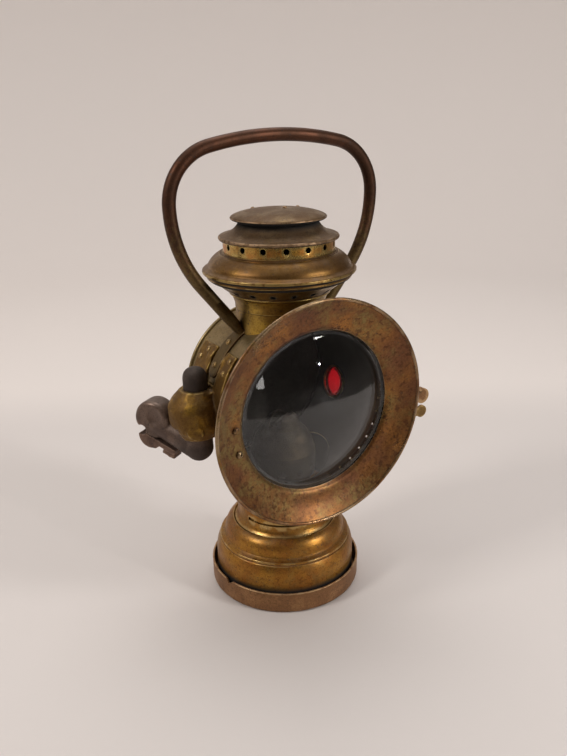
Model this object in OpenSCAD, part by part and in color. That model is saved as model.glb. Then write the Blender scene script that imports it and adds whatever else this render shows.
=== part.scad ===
// Kerosene buggy lamp: a brass and copper driving lamp with a bull's-eye door, a twist-out oil font
// and a swivelling iron dash clamp.
// Millimetres. +Z is up, the lens faces -Y, and the origin is the middle of the base cup's underside.

/* [Base cup and oil font] */
// Outer radius of the copper base cup
cup_r = 46; // [44.6:0.2:48]
// Height of the base cup
cup_h = 13.5; // [11:0.5:17]
// Sheet thickness of the base cup
cup_t = 1.1; // [0.8:0.1:1.4]
// Room between the base cup and the font's lower wall
font_room = 2.1; // [1.4:0.1:2.6]
// Step from the font's lower wall in to its upper tier
tier_step = 5.9; // [5:0.1:6.6]
// Height where the upper tier stands on the shelf
shelf_z = 31.4; // [30:0.2:33]
// Height of the font's top edge
font_top_z = 41.9; // [41:0.2:44]
// Sheet thickness of the spun brass
sheet_t = 0.8; // [0.6:0.1:1]

/* [Burner and wick] */
// Inner radius of the font's burner collar
mouth_r = 12; // [11:0.2:13]
// Outer radius of the burner's stem housing
housing_r = 13; // [12.6:0.2:14]
// Outer radius of the burner's air basket
basket_r = 19.5; // [18:0.5:21]
// Height of the air basket's rim
basket_z = 86; // [82:1:90]
// Height of the burner cone's top
cone_top_z = 109; // [106:1:112]
// Number of air holes round the basket
basket_holes = 12; // [8:1:14]
// Width of the flat wick
wick_w = 16; // [14:0.5:17]
// Thickness of the flat wick
wick_t = 2.2; // [1.8:0.1:2.6]
// Radius of the wick spindle
spindle_r = 1.1; // [0.9:0.05:1.3]
// Height of the wick spindle
spindle_z = 48.2; // [47.6:0.2:49]
// Bearing of the wick spindle round the lamp, in degrees from +X
spindle_az = 30; // [20:5:40]
// Tip radius of the toothed wheels that climb the wick
spur_r = 3.5; // [3:0.1:4]
// Teeth on each toothed wheel
spur_teeth = 9; // [7:1:12]
// Radius of the milled thumbwheel
thumb_r = 6.8; // [6:0.2:7.4]
// Thickness of the thumbwheel
thumb_t = 2.6; // [2:0.2:3.4]

/* [Lamp collar] */
// Step from the font's upper tier in to the recess for the collar's foot
foot_step = 6.2; // [6:0.1:7]
// How far the collar's foot flares out
foot_flare = 2.2; // [1.6:0.1:2.6]
// Height of the slots' middle
slot_z = 48.2; // [47.6:0.2:49]
// Width of the front slot
slot_h = 1.3; // [1:0.1:1.8]
// Turn of the font between its two ends, in degrees
font_turn = 58; // [40:2:62]

/* [Drum and back] */
// Height of the drum's axis
drum_z = 123.7; // [122:0.1:126]
// Outer radius of the drum
drum_r = 46; // [45:0.2:47]
// How far the drum reaches ahead of the collar
drum_lead = 5.8; // [5:0.1:7]
// How far the drum reaches behind the collar
drum_tail = 0.1; // [0.1:0.1:2.5]
// Radius of the drum's rolled rear bead
bead_r = 1.3; // [1:0.1:1.6]
// Number of vent holes round the drum's front edge
vent_holes = 36; // [24:1:40]
// Radius of a vent hole
vent_hole_r = 0.75; // [0.5:0.05:1]
// Depth of the domed back
back_depth = 12; // [10:0.5:14]
// Radius of the red side jewel's tube
jewel_r = 10.5; // [9:0.5:12]
// Distance of the side jewel behind the lamp's axis
jewel_y = 11; // [6:0.5:14]
// Drop of the side jewel under the drum's middle, in degrees
jewel_drop = 9.5; // [5:0.5:14]

/* [Door] */
// Room between the drum and the door's band
band_room = 1; // [0.8:0.1:1.2]
// Width of the lip that the lens rests against
lens_lip = 1.1; // [0.8:0.1:2]
// Width of the flare, from opening to rim
flare_w = 18.7; // [16:0.1:21]
// Distance of the opening's edge ahead of the drum
door_depth = 5; // [4.6:0.1:6]
// How far the flare leans forward from opening to rim
flare_rise = 7.6; // [6:0.2:9]
// Radius of the flare's rolled rim
rim_r = 1; // [0.8:0.1:1.3]
// Thickness of the lens at its edge
lens_edge = 3; // [2:0.2:3.2]
// Bulge of the lens ahead of its edge
lens_bulge = 9; // [6:0.5:10]
// Distance of the hinge pin outside the door's band
hinge_out = 2.8; // [2.6:0.1:3.2]
// Distance of the hinge pin ahead of the drum
hinge_lead = 1.2; // [0.9:0.1:1.6]
// Radius of the hinge knuckles
knuckle_r = 2.2; // [2:0.1:2.3]
// Radius of the hinge pin
pin_r = 1.1; // [0.8:0.1:1.3]
// Height of the hinge's middle
hinge_z = 118.3; // [116:0.2:120]
// Length of the door's knuckle
knuckle_len = 12.4; // [10:0.2:14]

/* [Latch] */
// Height of the latch lever's pivot
latch_z = 117.2; // [116:0.2:119]
// Distance of the pivot outside the door's opening
pivot_out = 14.1; // [13.2:0.1:15]
// Distance of the lever's finger tab outside the pivot
lever_reach = 13.6; // [12.6:0.1:15]
// Radius of the lever's finger tab
lever_tab_r = 4.7; // [4:0.1:5]
// Distance of the fixed finger tab outside the pivot
fixed_reach = 11.8; // [10.6:0.1:13]
// Drop of the fixed finger tab under the pivot
fixed_tab_drop = 8.9; // [8.4:0.1:9.6]
// Radius of the fixed finger tab
fixed_tab_r = 3.7; // [3.2:0.1:4]
// Thickness of the latch plates
latch_t = 1.4; // [1:0.1:1.6]

/* [Ventilator] */
// Outer radius of the chimney neck
neck_r = 24.9; // [24:0.1:25.6]
// Height where the neck starts to flare
neck_flare_z = 176; // [174:0.5:178]
// Height where the neck meets the draught funnel
funnel_z = 184; // [183:0.2:186]
// Number of air holes round the draught funnel
funnel_holes = 18; // [14:1:20]
// Radius of the bulge's widest edge
bulge_r = 42.6; // [41:0.2:43.4]
// Height of the bulge's widest edge
bulge_z = 196; // [195:0.2:197.5]
// Radius of the perforated gallery
gallery_r = 30.7; // [30:0.1:31.4]
// Height of the gallery's foot
gallery_z = 206.6; // [206:0.2:208]
// Number of holes round the gallery
gallery_holes = 16; // [12:1:18]
// Radius of a gallery hole
gallery_hole_r = 1.6; // [1.2:0.1:1.8]
// Rim radius of the lower cap
lower_cap_r = 33.1; // [32.4:0.1:34.5]
// Height of the lower cap's rim
lower_cap_z = 212.7; // [212.3:0.1:214]
// Rim radius of the top cap
top_cap_r = 26.3; // [25:0.1:27.5]
// Height of the top cap's rim
top_cap_z = 223; // [222.4:0.2:224.4]

/* [Carrying handle] */
// Radius of the handle's rod
rod_r = 3.5; // [3:0.1:3.8]
// Height of the rod's middle at the top of the handle
handle_top_z = 266.2; // [262:0.2:270]
// Bend radius of the handle's flat crown
crown_bend = 180; // [160:5:200]
// Bend radius of the handle's shoulders
shoulder_bend = 29; // [27:0.5:31]
// Bend radius of the handle's sides
side_bend = 68; // [64:1:72]
// Distance of the handle's plane behind the lamp's axis
handle_y = 1.2; // [0:0.2:2]
// Width of the strap that lies on the drum
strap_w = 9.5; // [8.5:0.1:10]
// Thickness of the strap
strap_t = 1.4; // [1.1:0.1:1.8]

/* [Lamp socket and dash clamp] */
// Distance of the clamp post outside the drum
post_out = 7; // [7:0.1:9]
// Distance of the clamp post behind the lamp's axis
post_y = 3; // [2:0.5:4]
// Radius of the clamp post
post_r = 6.9; // [6.4:0.1:7]
// Height of the socket's underside
socket_z = 107; // [106:0.5:108]
// Height of the socket's barrel
socket_h = 28; // [26:0.5:30]
// Radius of the barrel at its widest
barrel_r = 15.8; // [14.6:0.2:16.4]
// Height of the post above the socket
post_rise = 12.4; // [9:0.2:15]
// Bearing of the clamp's arm, in degrees from +X
clamp_az = 125; // [118:1:132]
// Rise of the clamp's arm, in degrees
arm_tilt = 21.5; // [20:0.5:23]
// Radius of the elbow under the socket
elbow_r = 8.2; // [7.6:0.1:8.6]
// Distance of the claw's middle along the arm
claw_x = 30.6; // [30.2:0.2:33]
// Radius of the claw
claw_r = 11.5; // [10.6:0.1:11.8]
// Width of the claw and jaw
jaw_w = 13; // [11:0.5:14]
// Radius of the round seat that grips the dash rail
seat_r = 3; // [2.6:0.1:3.4]
// Radius of the clamp bolt
bolt_r = 2.4; // [2:0.1:2.8]
// Distance of the clamp bolt along the arm
bolt_x = 14.9; // [14:0.2:15.6]

/* [Hidden] */
$fn = 96;

// Clearances shared by every fit
run_gap = 0.05;
seat_gap = 0.3;
eps = 0.01;
deep = 400;

// Font
font_r = cup_r - cup_t - font_room;
tier_r = font_r - tier_step;
foot_r = tier_r - foot_step;
collar_r = foot_r - foot_flare;
cup_bend = 1.8;
tank_z = cup_t;
wall_z = 20;
shoulder_bend_r = 18;
tank_plate_z = font_top_z - 1.3;
collar_foot_z = tank_plate_z + 0.4;
font_neck_r = collar_r - sheet_t - seat_gap;
font_neck_top = slot_z + 6;

// Burner
mouth_wall = 2.2;
mouth_h = 4.4;
mouth_top = tank_plate_z + mouth_h;
stem_r = mouth_r - 0.1;
stem_drop = 5;
base_flange_r = mouth_r + mouth_wall;
housing_top = basket_z - 26;
tube_wall = 0.6;
tube_gap = 0.4;
tube_w = wick_w + 2 * (tube_gap + tube_wall);
tube_t = wick_t + 2 * (tube_gap + tube_wall);
tube_foot = mouth_top - 3;
tube_top = cone_top_z - 5;
wick_top = tube_top + 2;
wick_foot = cup_t + sheet_t + 5;
deck_z = basket_z - 3;
spur_off = wick_t / 2 + spur_r + 0.1;
spur_w = 1.2;
spur_place = wick_w / 4;
spur_tooth = 0.7;
thumb_in = collar_r + 7.6;
spindle_end = thumb_in + thumb_t + 0.6;
thumb_grooves = 20;

// Collar slots, as bearings round the lamp
front_slot_from = -158;
front_slot_to = front_slot_from + font_turn + 7;
notch_az = -163.5;
notch_w = 4.6;
spindle_shift = asin(spur_off / collar_r);
rear_slot_from = spindle_az + spindle_shift - 4.5;
rear_slot_to = spindle_az + spindle_shift + font_turn + 4.5;
detent_az = front_slot_from + 2.2;
spindle_slot_h = 2 * spindle_r + 1.4;

// Drum and back
drum_front = collar_r + drum_lead;
drum_rear = collar_r + drum_tail;
drum_in = drum_r - sheet_t;
collar_bore = collar_r - sheet_t;
neck_bore = neck_r - sheet_t;
vent_y = -drum_front + 2.6;
jewel_lip = 1.2;
jewel_flange = 2.2;
jewel_out = 2.6;

// Door
door_gap = 0.35;
band_t = 0.8;
band_r = drum_r + band_room + band_t;
band_in = band_r - band_t;
opening_r = band_in - lens_lip;
opening_y = drum_front + door_depth;
flare_r = opening_r + flare_w;
hinge_x = band_r + hinge_out;
hinge_y = drum_front + hinge_lead;
band_rear = -drum_front - door_gap;
lens_r = band_in - 0.15;
lens_front = -opening_y + sheet_t;
lens_rear = lens_front + lens_edge;
flare_slope = flare_rise / (flare_r - rim_r - opening_r);
flare_skin = sheet_t * sqrt(1 + flare_slope * flare_slope);
knuckle_gap = 0.3;
knuckle_end = 6;
knuckle_up = knuckle_len / 2 + knuckle_gap;
door_rivet_r = opening_r + 4.7;
pivot_x = opening_r + pivot_out;
lever_tab_x = pivot_x + lever_reach;
fixed_tab_x = pivot_x + fixed_reach;
lever_y = -opening_y - 0.3;
plate_y = lever_y - 0.4 - latch_t;
lug_top = latch_z - 2;
latch_pin_r = 1.1;

// Ventilator
neck_top_r = 28.4;
funnel_out_r = 36.8;
funnel_out_z = 191.3;
funnel_hole_r = 1.3;
flue_r = neck_r - sheet_t;
lower_cap_neck_r = 21.8;
stud_r = 1.3;

// Handle
crown_half = 12.5;
side_sweep = 38.5;
shoulder_x = (crown_bend - shoulder_bend) * sin(crown_half);
shoulder_z = handle_top_z - crown_bend + (crown_bend - shoulder_bend) * cos(crown_half);
side_x = shoulder_x + shoulder_bend - side_bend;
leg_x = side_x + side_bend * cos(side_sweep);
leg_z = shoulder_z - side_bend * sin(side_sweep);
leg_dir = [-sin(side_sweep), -cos(side_sweep)];
bend_gap = 0.08;
bend_weld_h = 0.8;
// Where the straight leg's middle meets the drum
leg_b = leg_x * leg_dir[0] + (leg_z - drum_z) * leg_dir[1];
leg_c = leg_x * leg_x + (leg_z - drum_z) * (leg_z - drum_z) - drum_r * drum_r;
leg_len = -leg_b - sqrt(leg_b * leg_b - leg_c);
leg_foot = [leg_x + leg_dir[0] * leg_len, leg_z + leg_dir[1] * leg_len];
strap_from = atan2(leg_foot[1] - drum_z, leg_foot[0]) + asin((rod_r + 0.4) / drum_r);
strap_to = 26;
strap_rivets = [47, 29];
rivet_r = 1.7;

// Socket and clamp
post_x = drum_r + post_out;
plate_t = 1.8;
plate_front = -16;
plate_back = 24;
plate_up = 41;
plate_down = -20;
strap_slot = strap_w / 2 + 1;
ear_rivets = [[-11.5, 27], [-12.5, 36], [19.5, 29], [14.5, 36], [-13.9, -15], [20.3, -15]];
barrel_mid = socket_z + socket_h * 0.52;
clamp_swing = 25;
relief_half = clamp_swing + 50;
relief_r = barrel_r + 0.6;
post_top = socket_z + socket_h + post_rise;
elbow_z = socket_z - seat_gap - elbow_r + 0.6;
seam_w = -6.7;
jaw_gap = 0.3;
arm_end_r = 6.9;
seat_x = claw_x + 4;
jaw_heel = bolt_x - 4.4;
jaw_tip = claw_x + 5.6;
heel_w = 3.1;
nut_side = 8.6;
nut_h = 4;
jaw_travel = 2.4;
nut_corner = nut_side * 0.65;
bolt_seat = -2;
bolt_foot = seam_w - jaw_gap - heel_w - nut_h - jaw_travel;

function unit(v) = v / norm(v);
function side_of(a, b) = let (d = unit(b - a)) [-d[1], d[0]];
function arc(c, r, a, b, n) = [for (i = [0:n]) let (t = a + (b - a) * i / n) c + r * [cos(t), sin(t)]];
// A point of a line, moved square to the line by t
function pushed(p, i, t) =
    let (
        last = len(p) - 1,
        a = side_of(p[max(i - 1, 0)], p[max(i, 1)]),
        b = side_of(p[min(i, last - 1)], p[min(i + 1, last)]),
        m = unit(a + b)
    )
    p[i] + m * t / (m * a);
// Closed outline of a sheet of thickness t on the left of a line
function sheet(p, t) = concat(p, [for (i = [len(p) - 1:-1:0]) pushed(p, i, t)]);

module spun(p, t) {
    rotate_extrude()
        polygon(sheet(p, t));
}

// Turns a shape about the vertical so that it lies about the drum's axis, its +Z to the rear
module along_drum() {
    translate([0, 0, drum_z])
        rotate([-90, 0, 0])
            children();
}

// Places a shape on the drum: y along the drum, a the angle up from the right side
module on_drum(y, a, r) {
    translate([0, y, drum_z])
        rotate([0, 90 - a, 0])
            translate([0, 0, r])
                children();
}

module rod(r, h) {
    cylinder(r = r, h = h);
}

module ring(r_out, r_in, h) {
    difference() {
        rod(r_out, h);
        translate([0, 0, -eps])
            rod(r_in, h + 2 * eps);
    }
}

module dome(r, h) {
    // Rivet head: a cap of a ball, standing on z = 0
    ball = (r * r + h * h) / (2 * h);
    intersection() {
        translate([0, 0, h - ball])
            sphere(r = ball, $fn = 32);
        rod(r, h + 1);
    }
}

module burner_place() {
    rotate([0, 0, spindle_az])
        children();
}

module base_cup() {
    cup = concat([[0, 0]], arc([cup_r - cup_bend, cup_bend], cup_bend, -90, 0, 5),
        [[cup_r, cup_h], [cup_r - cup_t, cup_h], [cup_r - cup_t, cup_t], [0, cup_t]]);
    color([0.45, 0.29, 0.19])
        difference() {
            rotate_extrude()
                polygon(cup);
            // Torn nick in the cup's rim
            rotate([0, 0, -167])
                translate([cup_r - 2 * cup_t, 0, cup_h])
                    rotate([90, 0, 90])
                        linear_extrude(3 * cup_t)
                            polygon([[-2.6, 1], [2.8, 1], [2.4, -0.6], [-1.2, -3.4]]);
        }
}

module font_tank() {
    lower = arc([font_r - shoulder_bend_r, wall_z], shoulder_bend_r, 0, 28, 5);
    upper = arc([tier_r - 9, font_top_z - 8.1], 9, 6, 64, 7);
    line = concat([[font_r, tank_z + 1.2]], lower,
        [[font_r - 2.9, 28.9], [font_r - 2.3, 29.5], [font_r - 2.5, 30.4], [tier_r + 1.8, shelf_z - 0.5],
        [tier_r + 0.5, shelf_z + 0.3], [tier_r + 0.1, shelf_z + 1.4]], upper,
        [[foot_r + 0.6, font_top_z - 0.3], [foot_r + 0.3, tank_plate_z + 0.2], [foot_r, tank_plate_z],
        [mouth_r + mouth_wall, tank_plate_z], [mouth_r, tank_plate_z]]);
    skin = [for (i = [len(line) - 1:-1:0]) pushed(line, i, sheet_t)];
    color([0.72, 0.53, 0.25])
        rotate_extrude()
            polygon(concat([[0, tank_z], [font_r, tank_z]], line, skin, [[0, tank_z + 1.2]]));
}

module font_neck() {
    // The font's own ring inside the collar, with the dimple that snaps into the slot's end
    color([0.66, 0.5, 0.26])
        difference() {
            union() {
                translate([0, 0, tank_plate_z])
                    ring(font_neck_r, font_neck_r - sheet_t, font_neck_top - tank_plate_z);
                rotate([0, 0, detent_az])
                    translate([font_neck_r - sheet_t / 2, 0, slot_z])
                        rotate([0, 90, 0])
                            rod(slot_h / 2 - 0.2, sheet_t + seat_gap + 0.2);
            }
            burner_place()
                translate([0, spur_off, spindle_z])
                    rotate([0, 90, 0])
                        rod(spindle_r + 0.3, deep);
        }
}

module burner_collar() {
    color([0.6, 0.45, 0.22])
        translate([0, 0, tank_plate_z])
            ring(mouth_r + mouth_wall, mouth_r, mouth_h);
}

module burner_base() {
    foot = tank_plate_z - stem_drop;
    seat = mouth_top;
    line = [[stem_r, foot], [stem_r, seat], [base_flange_r, seat], [base_flange_r, seat + 1],
        [housing_r, seat + 1], [housing_r, housing_top], [housing_r + 1.2, housing_top + 4],
        [basket_r - 1.2, housing_top + 11], [basket_r, housing_top + 14], [basket_r, basket_z]];
    skin = [[basket_r - sheet_t, basket_z], [basket_r - sheet_t, housing_top + 14.2],
        [basket_r - sheet_t - 1.3, housing_top + 11.5], [housing_r + 0.3, housing_top + 4.2],
        [housing_r - sheet_t, housing_top], [housing_r - sheet_t, seat], [stem_r - sheet_t, seat - 1],
        [stem_r - sheet_t, foot]];
    color([0.62, 0.47, 0.24])
        difference() {
            rotate_extrude()
                polygon(concat(line, skin));
            burner_place()
                translate([-deep / 2, spur_off, spindle_z])
                    rotate([0, 90, 0])
                        rod(spindle_r + run_gap, deep);
            for (i = [0:basket_holes - 1])
                rotate([0, 0, i * 360 / basket_holes])
                    translate([basket_r - 3, 0, basket_z - 8])
                        rotate([0, 90, 0])
                            rod(1.8, 6);
        }
}

module air_deck() {
    color([0.55, 0.42, 0.22])
        translate([0, 0, deck_z])
            difference() {
                rod(basket_r - sheet_t, sheet_t);
                burner_place()
                    cube([tube_w, tube_t, 4], center = true);
                for (i = [0:basket_holes - 1])
                    rotate([0, 0, (i + 0.5) * 360 / basket_holes])
                        translate([basket_r - 5, 0, -1])
                            rod(1.3, 3);
            }
}

module wick_tube() {
    window = 2 * spur_r + 1;
    color([0.62, 0.48, 0.26])
        burner_place()
            difference() {
                translate([-tube_w / 2, -tube_t / 2, tube_foot])
                    cube([tube_w, tube_t, tube_top - tube_foot]);
                translate([-tube_w / 2 + tube_wall, -tube_t / 2 + tube_wall, tube_foot - 1])
                    cube([tube_w - 2 * tube_wall, tube_t - 2 * tube_wall, deep]);
                // Windows for the toothed wheels
                for (s = [-1, 1])
                    translate([s * spur_place - spur_w, 0, spindle_z - window / 2])
                        cube([2 * spur_w, tube_t, window]);
            }
}

module burner_cone() {
    line = concat([[basket_r, basket_z], [basket_r, basket_z + 1]],
        arc([3.5, basket_z + 2], basket_r - 4.5, 8, 60, 6),
        [[8.5, cone_top_z - 2], [6, cone_top_z], [0, cone_top_z]]);
    color([0.58, 0.44, 0.24])
        difference() {
            rotate_extrude()
                polygon(concat(sheet(line, sheet_t)));
            burner_place()
                cube([wick_w + 4, wick_t + 5, 2 * deep], center = true);
        }
}

module wick() {
    color([0.86, 0.83, 0.75])
        burner_place()
            translate([-wick_w / 2, -wick_t / 2, wick_foot])
                cube([wick_w, wick_t, wick_top - wick_foot]);
}

module spindle_place() {
    burner_place()
        translate([0, spur_off, spindle_z])
            rotate([0, 90, 0])
                children();
}

module wick_spindle() {
    color([0.55, 0.5, 0.42])
        spindle_place()
            translate([0, 0, -housing_r])
                rod(spindle_r, housing_r + spindle_end);
}

module spur_wheels() {
    root = spur_r - spur_tooth;
    color([0.5, 0.47, 0.4])
        spindle_place()
            for (s = [-1, 1])
                translate([0, 0, s * spur_place - spur_w / 2])
                    difference() {
                        union() {
                            rod(root, spur_w);
                            for (i = [0:spur_teeth - 1])
                                rotate([0, 0, 180 + i * 360 / spur_teeth])
                                    linear_extrude(spur_w)
                                        polygon([[root - 0.4, -0.7], [spur_r, 0], [root - 0.4, 0.7]]);
                        }
                        translate([0, 0, -1])
                            rod(spindle_r, spur_w + 2);
                    }
}

module thumbwheel() {
    color([0.7, 0.52, 0.26])
        spindle_place()
            translate([0, 0, thumb_in])
                difference() {
                    rod(thumb_r, thumb_t);
                    for (i = [0:thumb_grooves - 1])
                        rotate([0, 0, (i + 0.5) * 360 / thumb_grooves])
                            translate([thumb_r, 0, -1])
                                rod(0.4, thumb_t + 2);
                    translate([0, 0, -1])
                        rod(spindle_r, thumb_t + 2);
                }
}

// A slot cut radially through the collar between two bearings
module slot_cut(from, to, z, h) {
    translate([0, 0, z - h / 2])
        rotate([0, 0, from])
            rotate_extrude(angle = to - from)
                translate([collar_r - 3, 0])
                    square([6, h]);
}

module lamp_collar() {
    line = [[foot_r, collar_foot_z], [foot_r, collar_foot_z + 0.5], [foot_r - 1.1, collar_foot_z + 1.4],
        [collar_r + 0.2, collar_foot_z + 2.8], [collar_r, collar_foot_z + 4.4], [collar_r, drum_z - 8]];
    color([0.76, 0.58, 0.28])
        difference() {
            spun(line, sheet_t);
            along_drum()
                translate([0, 0, -deep / 2])
                    rod(drum_r, deep);
            slot_cut(front_slot_from, front_slot_to, slot_z, slot_h);
            // Square notch at the slot's end
            rotate([0, 0, notch_az])
                translate([collar_r - 3, -notch_w / 2, slot_z - slot_h / 2])
                    cube([6, notch_w, slot_h + 0.8]);
            slot_cut(rear_slot_from, rear_slot_to, spindle_z, spindle_slot_h);
            // Way out for the spindle when the font is turned
            rotate([0, 0, spindle_az + font_turn])
                translate([collar_r - 6, spur_off - spindle_slot_h / 2, 0])
                    cube([12, spindle_slot_h, spindle_z]);
        }
}

module drum_shell() {
    color([0.55, 0.47, 0.32])
        difference() {
            along_drum()
                translate([0, 0, -drum_front])
                    ring(drum_r, drum_in, drum_front + drum_rear);
            translate([0, 0, drum_z - deep])
                rod(collar_bore, deep);
            translate([0, 0, drum_z])
                rod(neck_bore, deep);
            for (i = [0:vent_holes - 1])
                on_drum(vent_y, (i + 0.5) * 360 / vent_holes, drum_in - 2)
                    rod(vent_hole_r, 5);
            jewel_place(drum_in - 4)
                rod(jewel_r + run_gap, 10);
        }
}

// Closed outline of a dished skin of height t over a line
function dished(p, t) = concat(p, [for (i = [len(p) - 1:-1:0]) p[i] + [0, t]]);

module drum_back() {
    n = 8;
    depth = back_depth - bead_r;
    line = [for (i = [0:n]) let (k = 1 - i / n) [drum_in * k, drum_rear + bead_r + depth * (1 - k * k)]];
    color([0.6, 0.45, 0.25])
        along_drum()
            rotate_extrude()
                union() {
                    translate([drum_r, drum_rear + bead_r])
                        circle(r = bead_r, $fn = 32);
                    polygon(dished(line, sheet_t));
                }
}

module reflector() {
    n = 8;
    edge = drum_in - 1;
    line = [for (i = [0:n]) let (k = 1 - i / n) [edge * k, drum_rear - 0.3 + (back_depth - 4) * (1 - k * k)]];
    color([0.85, 0.85, 0.82])
        along_drum()
            rotate_extrude()
                union() {
                    translate([drum_in - 1.6, drum_rear - 0.9])
                        square([1.6, 0.8]);
                    polygon(dished(line, 0.5));
                }
}

// Places a shape on the drum's right side, at radius r from the drum's axis
module jewel_place(r) {
    on_drum(jewel_y, -jewel_drop, r)
        children();
}

module jewel_bezel() {
    // Tube through the drum's wall with a curved flange on it and a lip over the glass
    tube = drum_in - 1.4;
    color([0.7, 0.52, 0.26])
        difference() {
            union() {
                jewel_place(tube)
                    rod(jewel_r, drum_r + jewel_out - tube);
                intersection() {
                    along_drum()
                        translate([0, 0, -deep / 2])
                            ring(drum_r + 0.9, drum_r + run_gap, deep);
                    jewel_place(0)
                        rod(jewel_r + jewel_flange, deep);
                }
            }
            jewel_place(0)
                rod(jewel_r - jewel_lip - 0.6, deep);
            jewel_place(0)
                rod(jewel_r - jewel_lip, drum_r + jewel_out - 0.8);
        }
}

module side_jewel() {
    glass = jewel_r - jewel_lip;
    color([0.7, 0.05, 0.05, 0.6])
        jewel_place(drum_r + jewel_out - 3.8)
            union() {
                rod(glass, 3);
                translate([0, 0, 3])
                    dome(glass - 0.7, 3.6);
            }
}

module drum_trim() {
    difference() {
        children();
        along_drum()
            translate([0, 0, -deep / 2])
                rod(drum_r, deep);
    }
}

module chimney_neck() {
    line = [[neck_r, drum_z + 20], [neck_r, neck_flare_z], [neck_r + 0.4, neck_flare_z + 2],
        [neck_r + 1.2, neck_flare_z + 4.4], [neck_r + 2.1, funnel_z - 1.6], [neck_top_r, funnel_z - 0.5],
        [neck_top_r, funnel_z]];
    color([0.55, 0.42, 0.2])
        drum_trim()
            spun(line, sheet_t);
}

module draught_funnel() {
    run = [funnel_out_r - neck_top_r, funnel_out_z - funnel_z];
    lean = atan2(run[1], run[0]);
    color([0.42, 0.32, 0.16])
        difference() {
            spun([[neck_top_r, funnel_z], [neck_top_r, funnel_z + 0.4],
                [funnel_out_r, funnel_out_z - 0.4], [funnel_out_r, funnel_out_z]], sheet_t);
            for (i = [0:funnel_holes - 1])
                rotate([0, 0, (i + 0.7) * 360 / funnel_holes])
                    translate([neck_top_r + run[0] * 0.38, 0, funnel_z + run[1] * 0.38])
                        rotate([0, 90 + lean, 0])
                            translate([0, 0, -3])
                                rod(funnel_hole_r, 6);
        }
}

module vent_bowl() {
    line = [[funnel_out_r - sheet_t, funnel_out_z], [funnel_out_r + 0.7, funnel_out_z],
        [bulge_r - 2.2, bulge_z - 2], [bulge_r - 0.5, bulge_z - 1.1], [bulge_r, bulge_z - 0.5],
        [bulge_r, bulge_z]];
    color([0.72, 0.53, 0.25])
        spun(line, sheet_t);
}

module vent_shoulder() {
    line = concat([[bulge_r, bulge_z], [bulge_r, bulge_z + 0.6], [bulge_r - 1.3, bulge_z + 1.4],
        [bulge_r - 2.7, bulge_z + 2.1], [bulge_r - 3.3, bulge_z + 3.1]],
        arc([bulge_r - 15.5, bulge_z - 3], 13.9, 30, 66, 5),
        [[gallery_r + 1.6, gallery_z - 1], [gallery_r + 0.5, gallery_z - 0.4], [gallery_r + 0.2, gallery_z]]);
    color([0.74, 0.55, 0.26])
        spun(line, sheet_t);
}

module inner_flue() {
    // Inner draught tube that hangs in the neck
    color([0.3, 0.26, 0.2])
        spun([[flue_r, drum_z + 44], [flue_r, drum_z + 50], [flue_r - 2.4, drum_z + 54],
            [flue_r - 2.4, gallery_z - 6]], sheet_t);
}

module gallery() {
    color([0.76, 0.6, 0.3])
        difference() {
            translate([0, 0, gallery_z])
                ring(gallery_r, gallery_r - sheet_t, lower_cap_z - gallery_z);
            for (i = [0:gallery_holes - 1])
                rotate([0, 0, i * 360 / gallery_holes])
                    translate([gallery_r - 3, 0, gallery_z + 3.8])
                        rotate([0, 90, 0])
                            rod(gallery_hole_r, 6);
        }
}

module lower_cap() {
    z = lower_cap_z;
    line = concat([[gallery_r - 2, z], [lower_cap_r - 0.7, z], [lower_cap_r - 0.2, z + 0.4],
        [lower_cap_r, z + 0.9], [lower_cap_r - 0.2, z + 1.5]],
        [[lower_cap_r - 2, z + 2.4], [28, z + 3.5], [25.6, z + 4.8], [23.8, z + 6.4], [22.4, z + 8],
        [lower_cap_neck_r, top_cap_z - 1.2]]);
    color([0.4, 0.27, 0.17])
        spun(line, sheet_t);
}

module top_cap() {
    z = top_cap_z;
    line = [[lower_cap_neck_r - sheet_t, z - 1.2], [lower_cap_neck_r + 0.6, z - 1.2], [top_cap_r - 2, z - 0.4],
        [top_cap_r - 0.4, z + 0.2], [top_cap_r, z + 0.9], [top_cap_r - 0.4, z + 1.8], [top_cap_r - 2.2, z + 2.9],
        [top_cap_r - 5, z + 3.8], [16, z + 4.8], [8, z + 5.5], [0, z + 5.8]];
    color([0.45, 0.3, 0.2])
        rotate_extrude()
            polygon(concat(line, [[0, z + 4.9], [8, z + 4.6], [16, z + 3.9], [top_cap_r - 5, z + 2.9],
                [top_cap_r - 2.4, z + 2], [top_cap_r - 2.4, z + 0.6], [lower_cap_neck_r - sheet_t, z - 0.3]]));
}

module cap_studs() {
    place = [[3, -2, 5.6], [19.2, 11.6, 3.25], [-3.7, 22.6, 3.1]];
    color([0.42, 0.28, 0.18])
        for (p = place)
            translate([p[0], p[1], top_cap_z + p[2]])
                dome(stud_r, 1.1);
}

// A bend of the handle's rod in the XZ plane, about the point c, a hair short at both ends
module bend(c, r, a, b) {
    short = bend_gap * 180 / (PI * r);
    translate([c[0], 0, c[1]])
        rotate([90, 0, 0])
            rotate([0, 0, a + short])
                rotate_extrude(angle = b - a - 2 * short)
                    translate([r, 0])
                        circle(r = rod_r, $fn = 32);
}

// The weld between two bends, at the angle a of the bend about c
module bend_weld(c, r, a) {
    translate([c[0], 0, c[1]])
        rotate([0, -a, 0])
            translate([r, 0, -bend_weld_h / 2])
                rod(rod_r + bend_gap, bend_weld_h);
}

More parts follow.
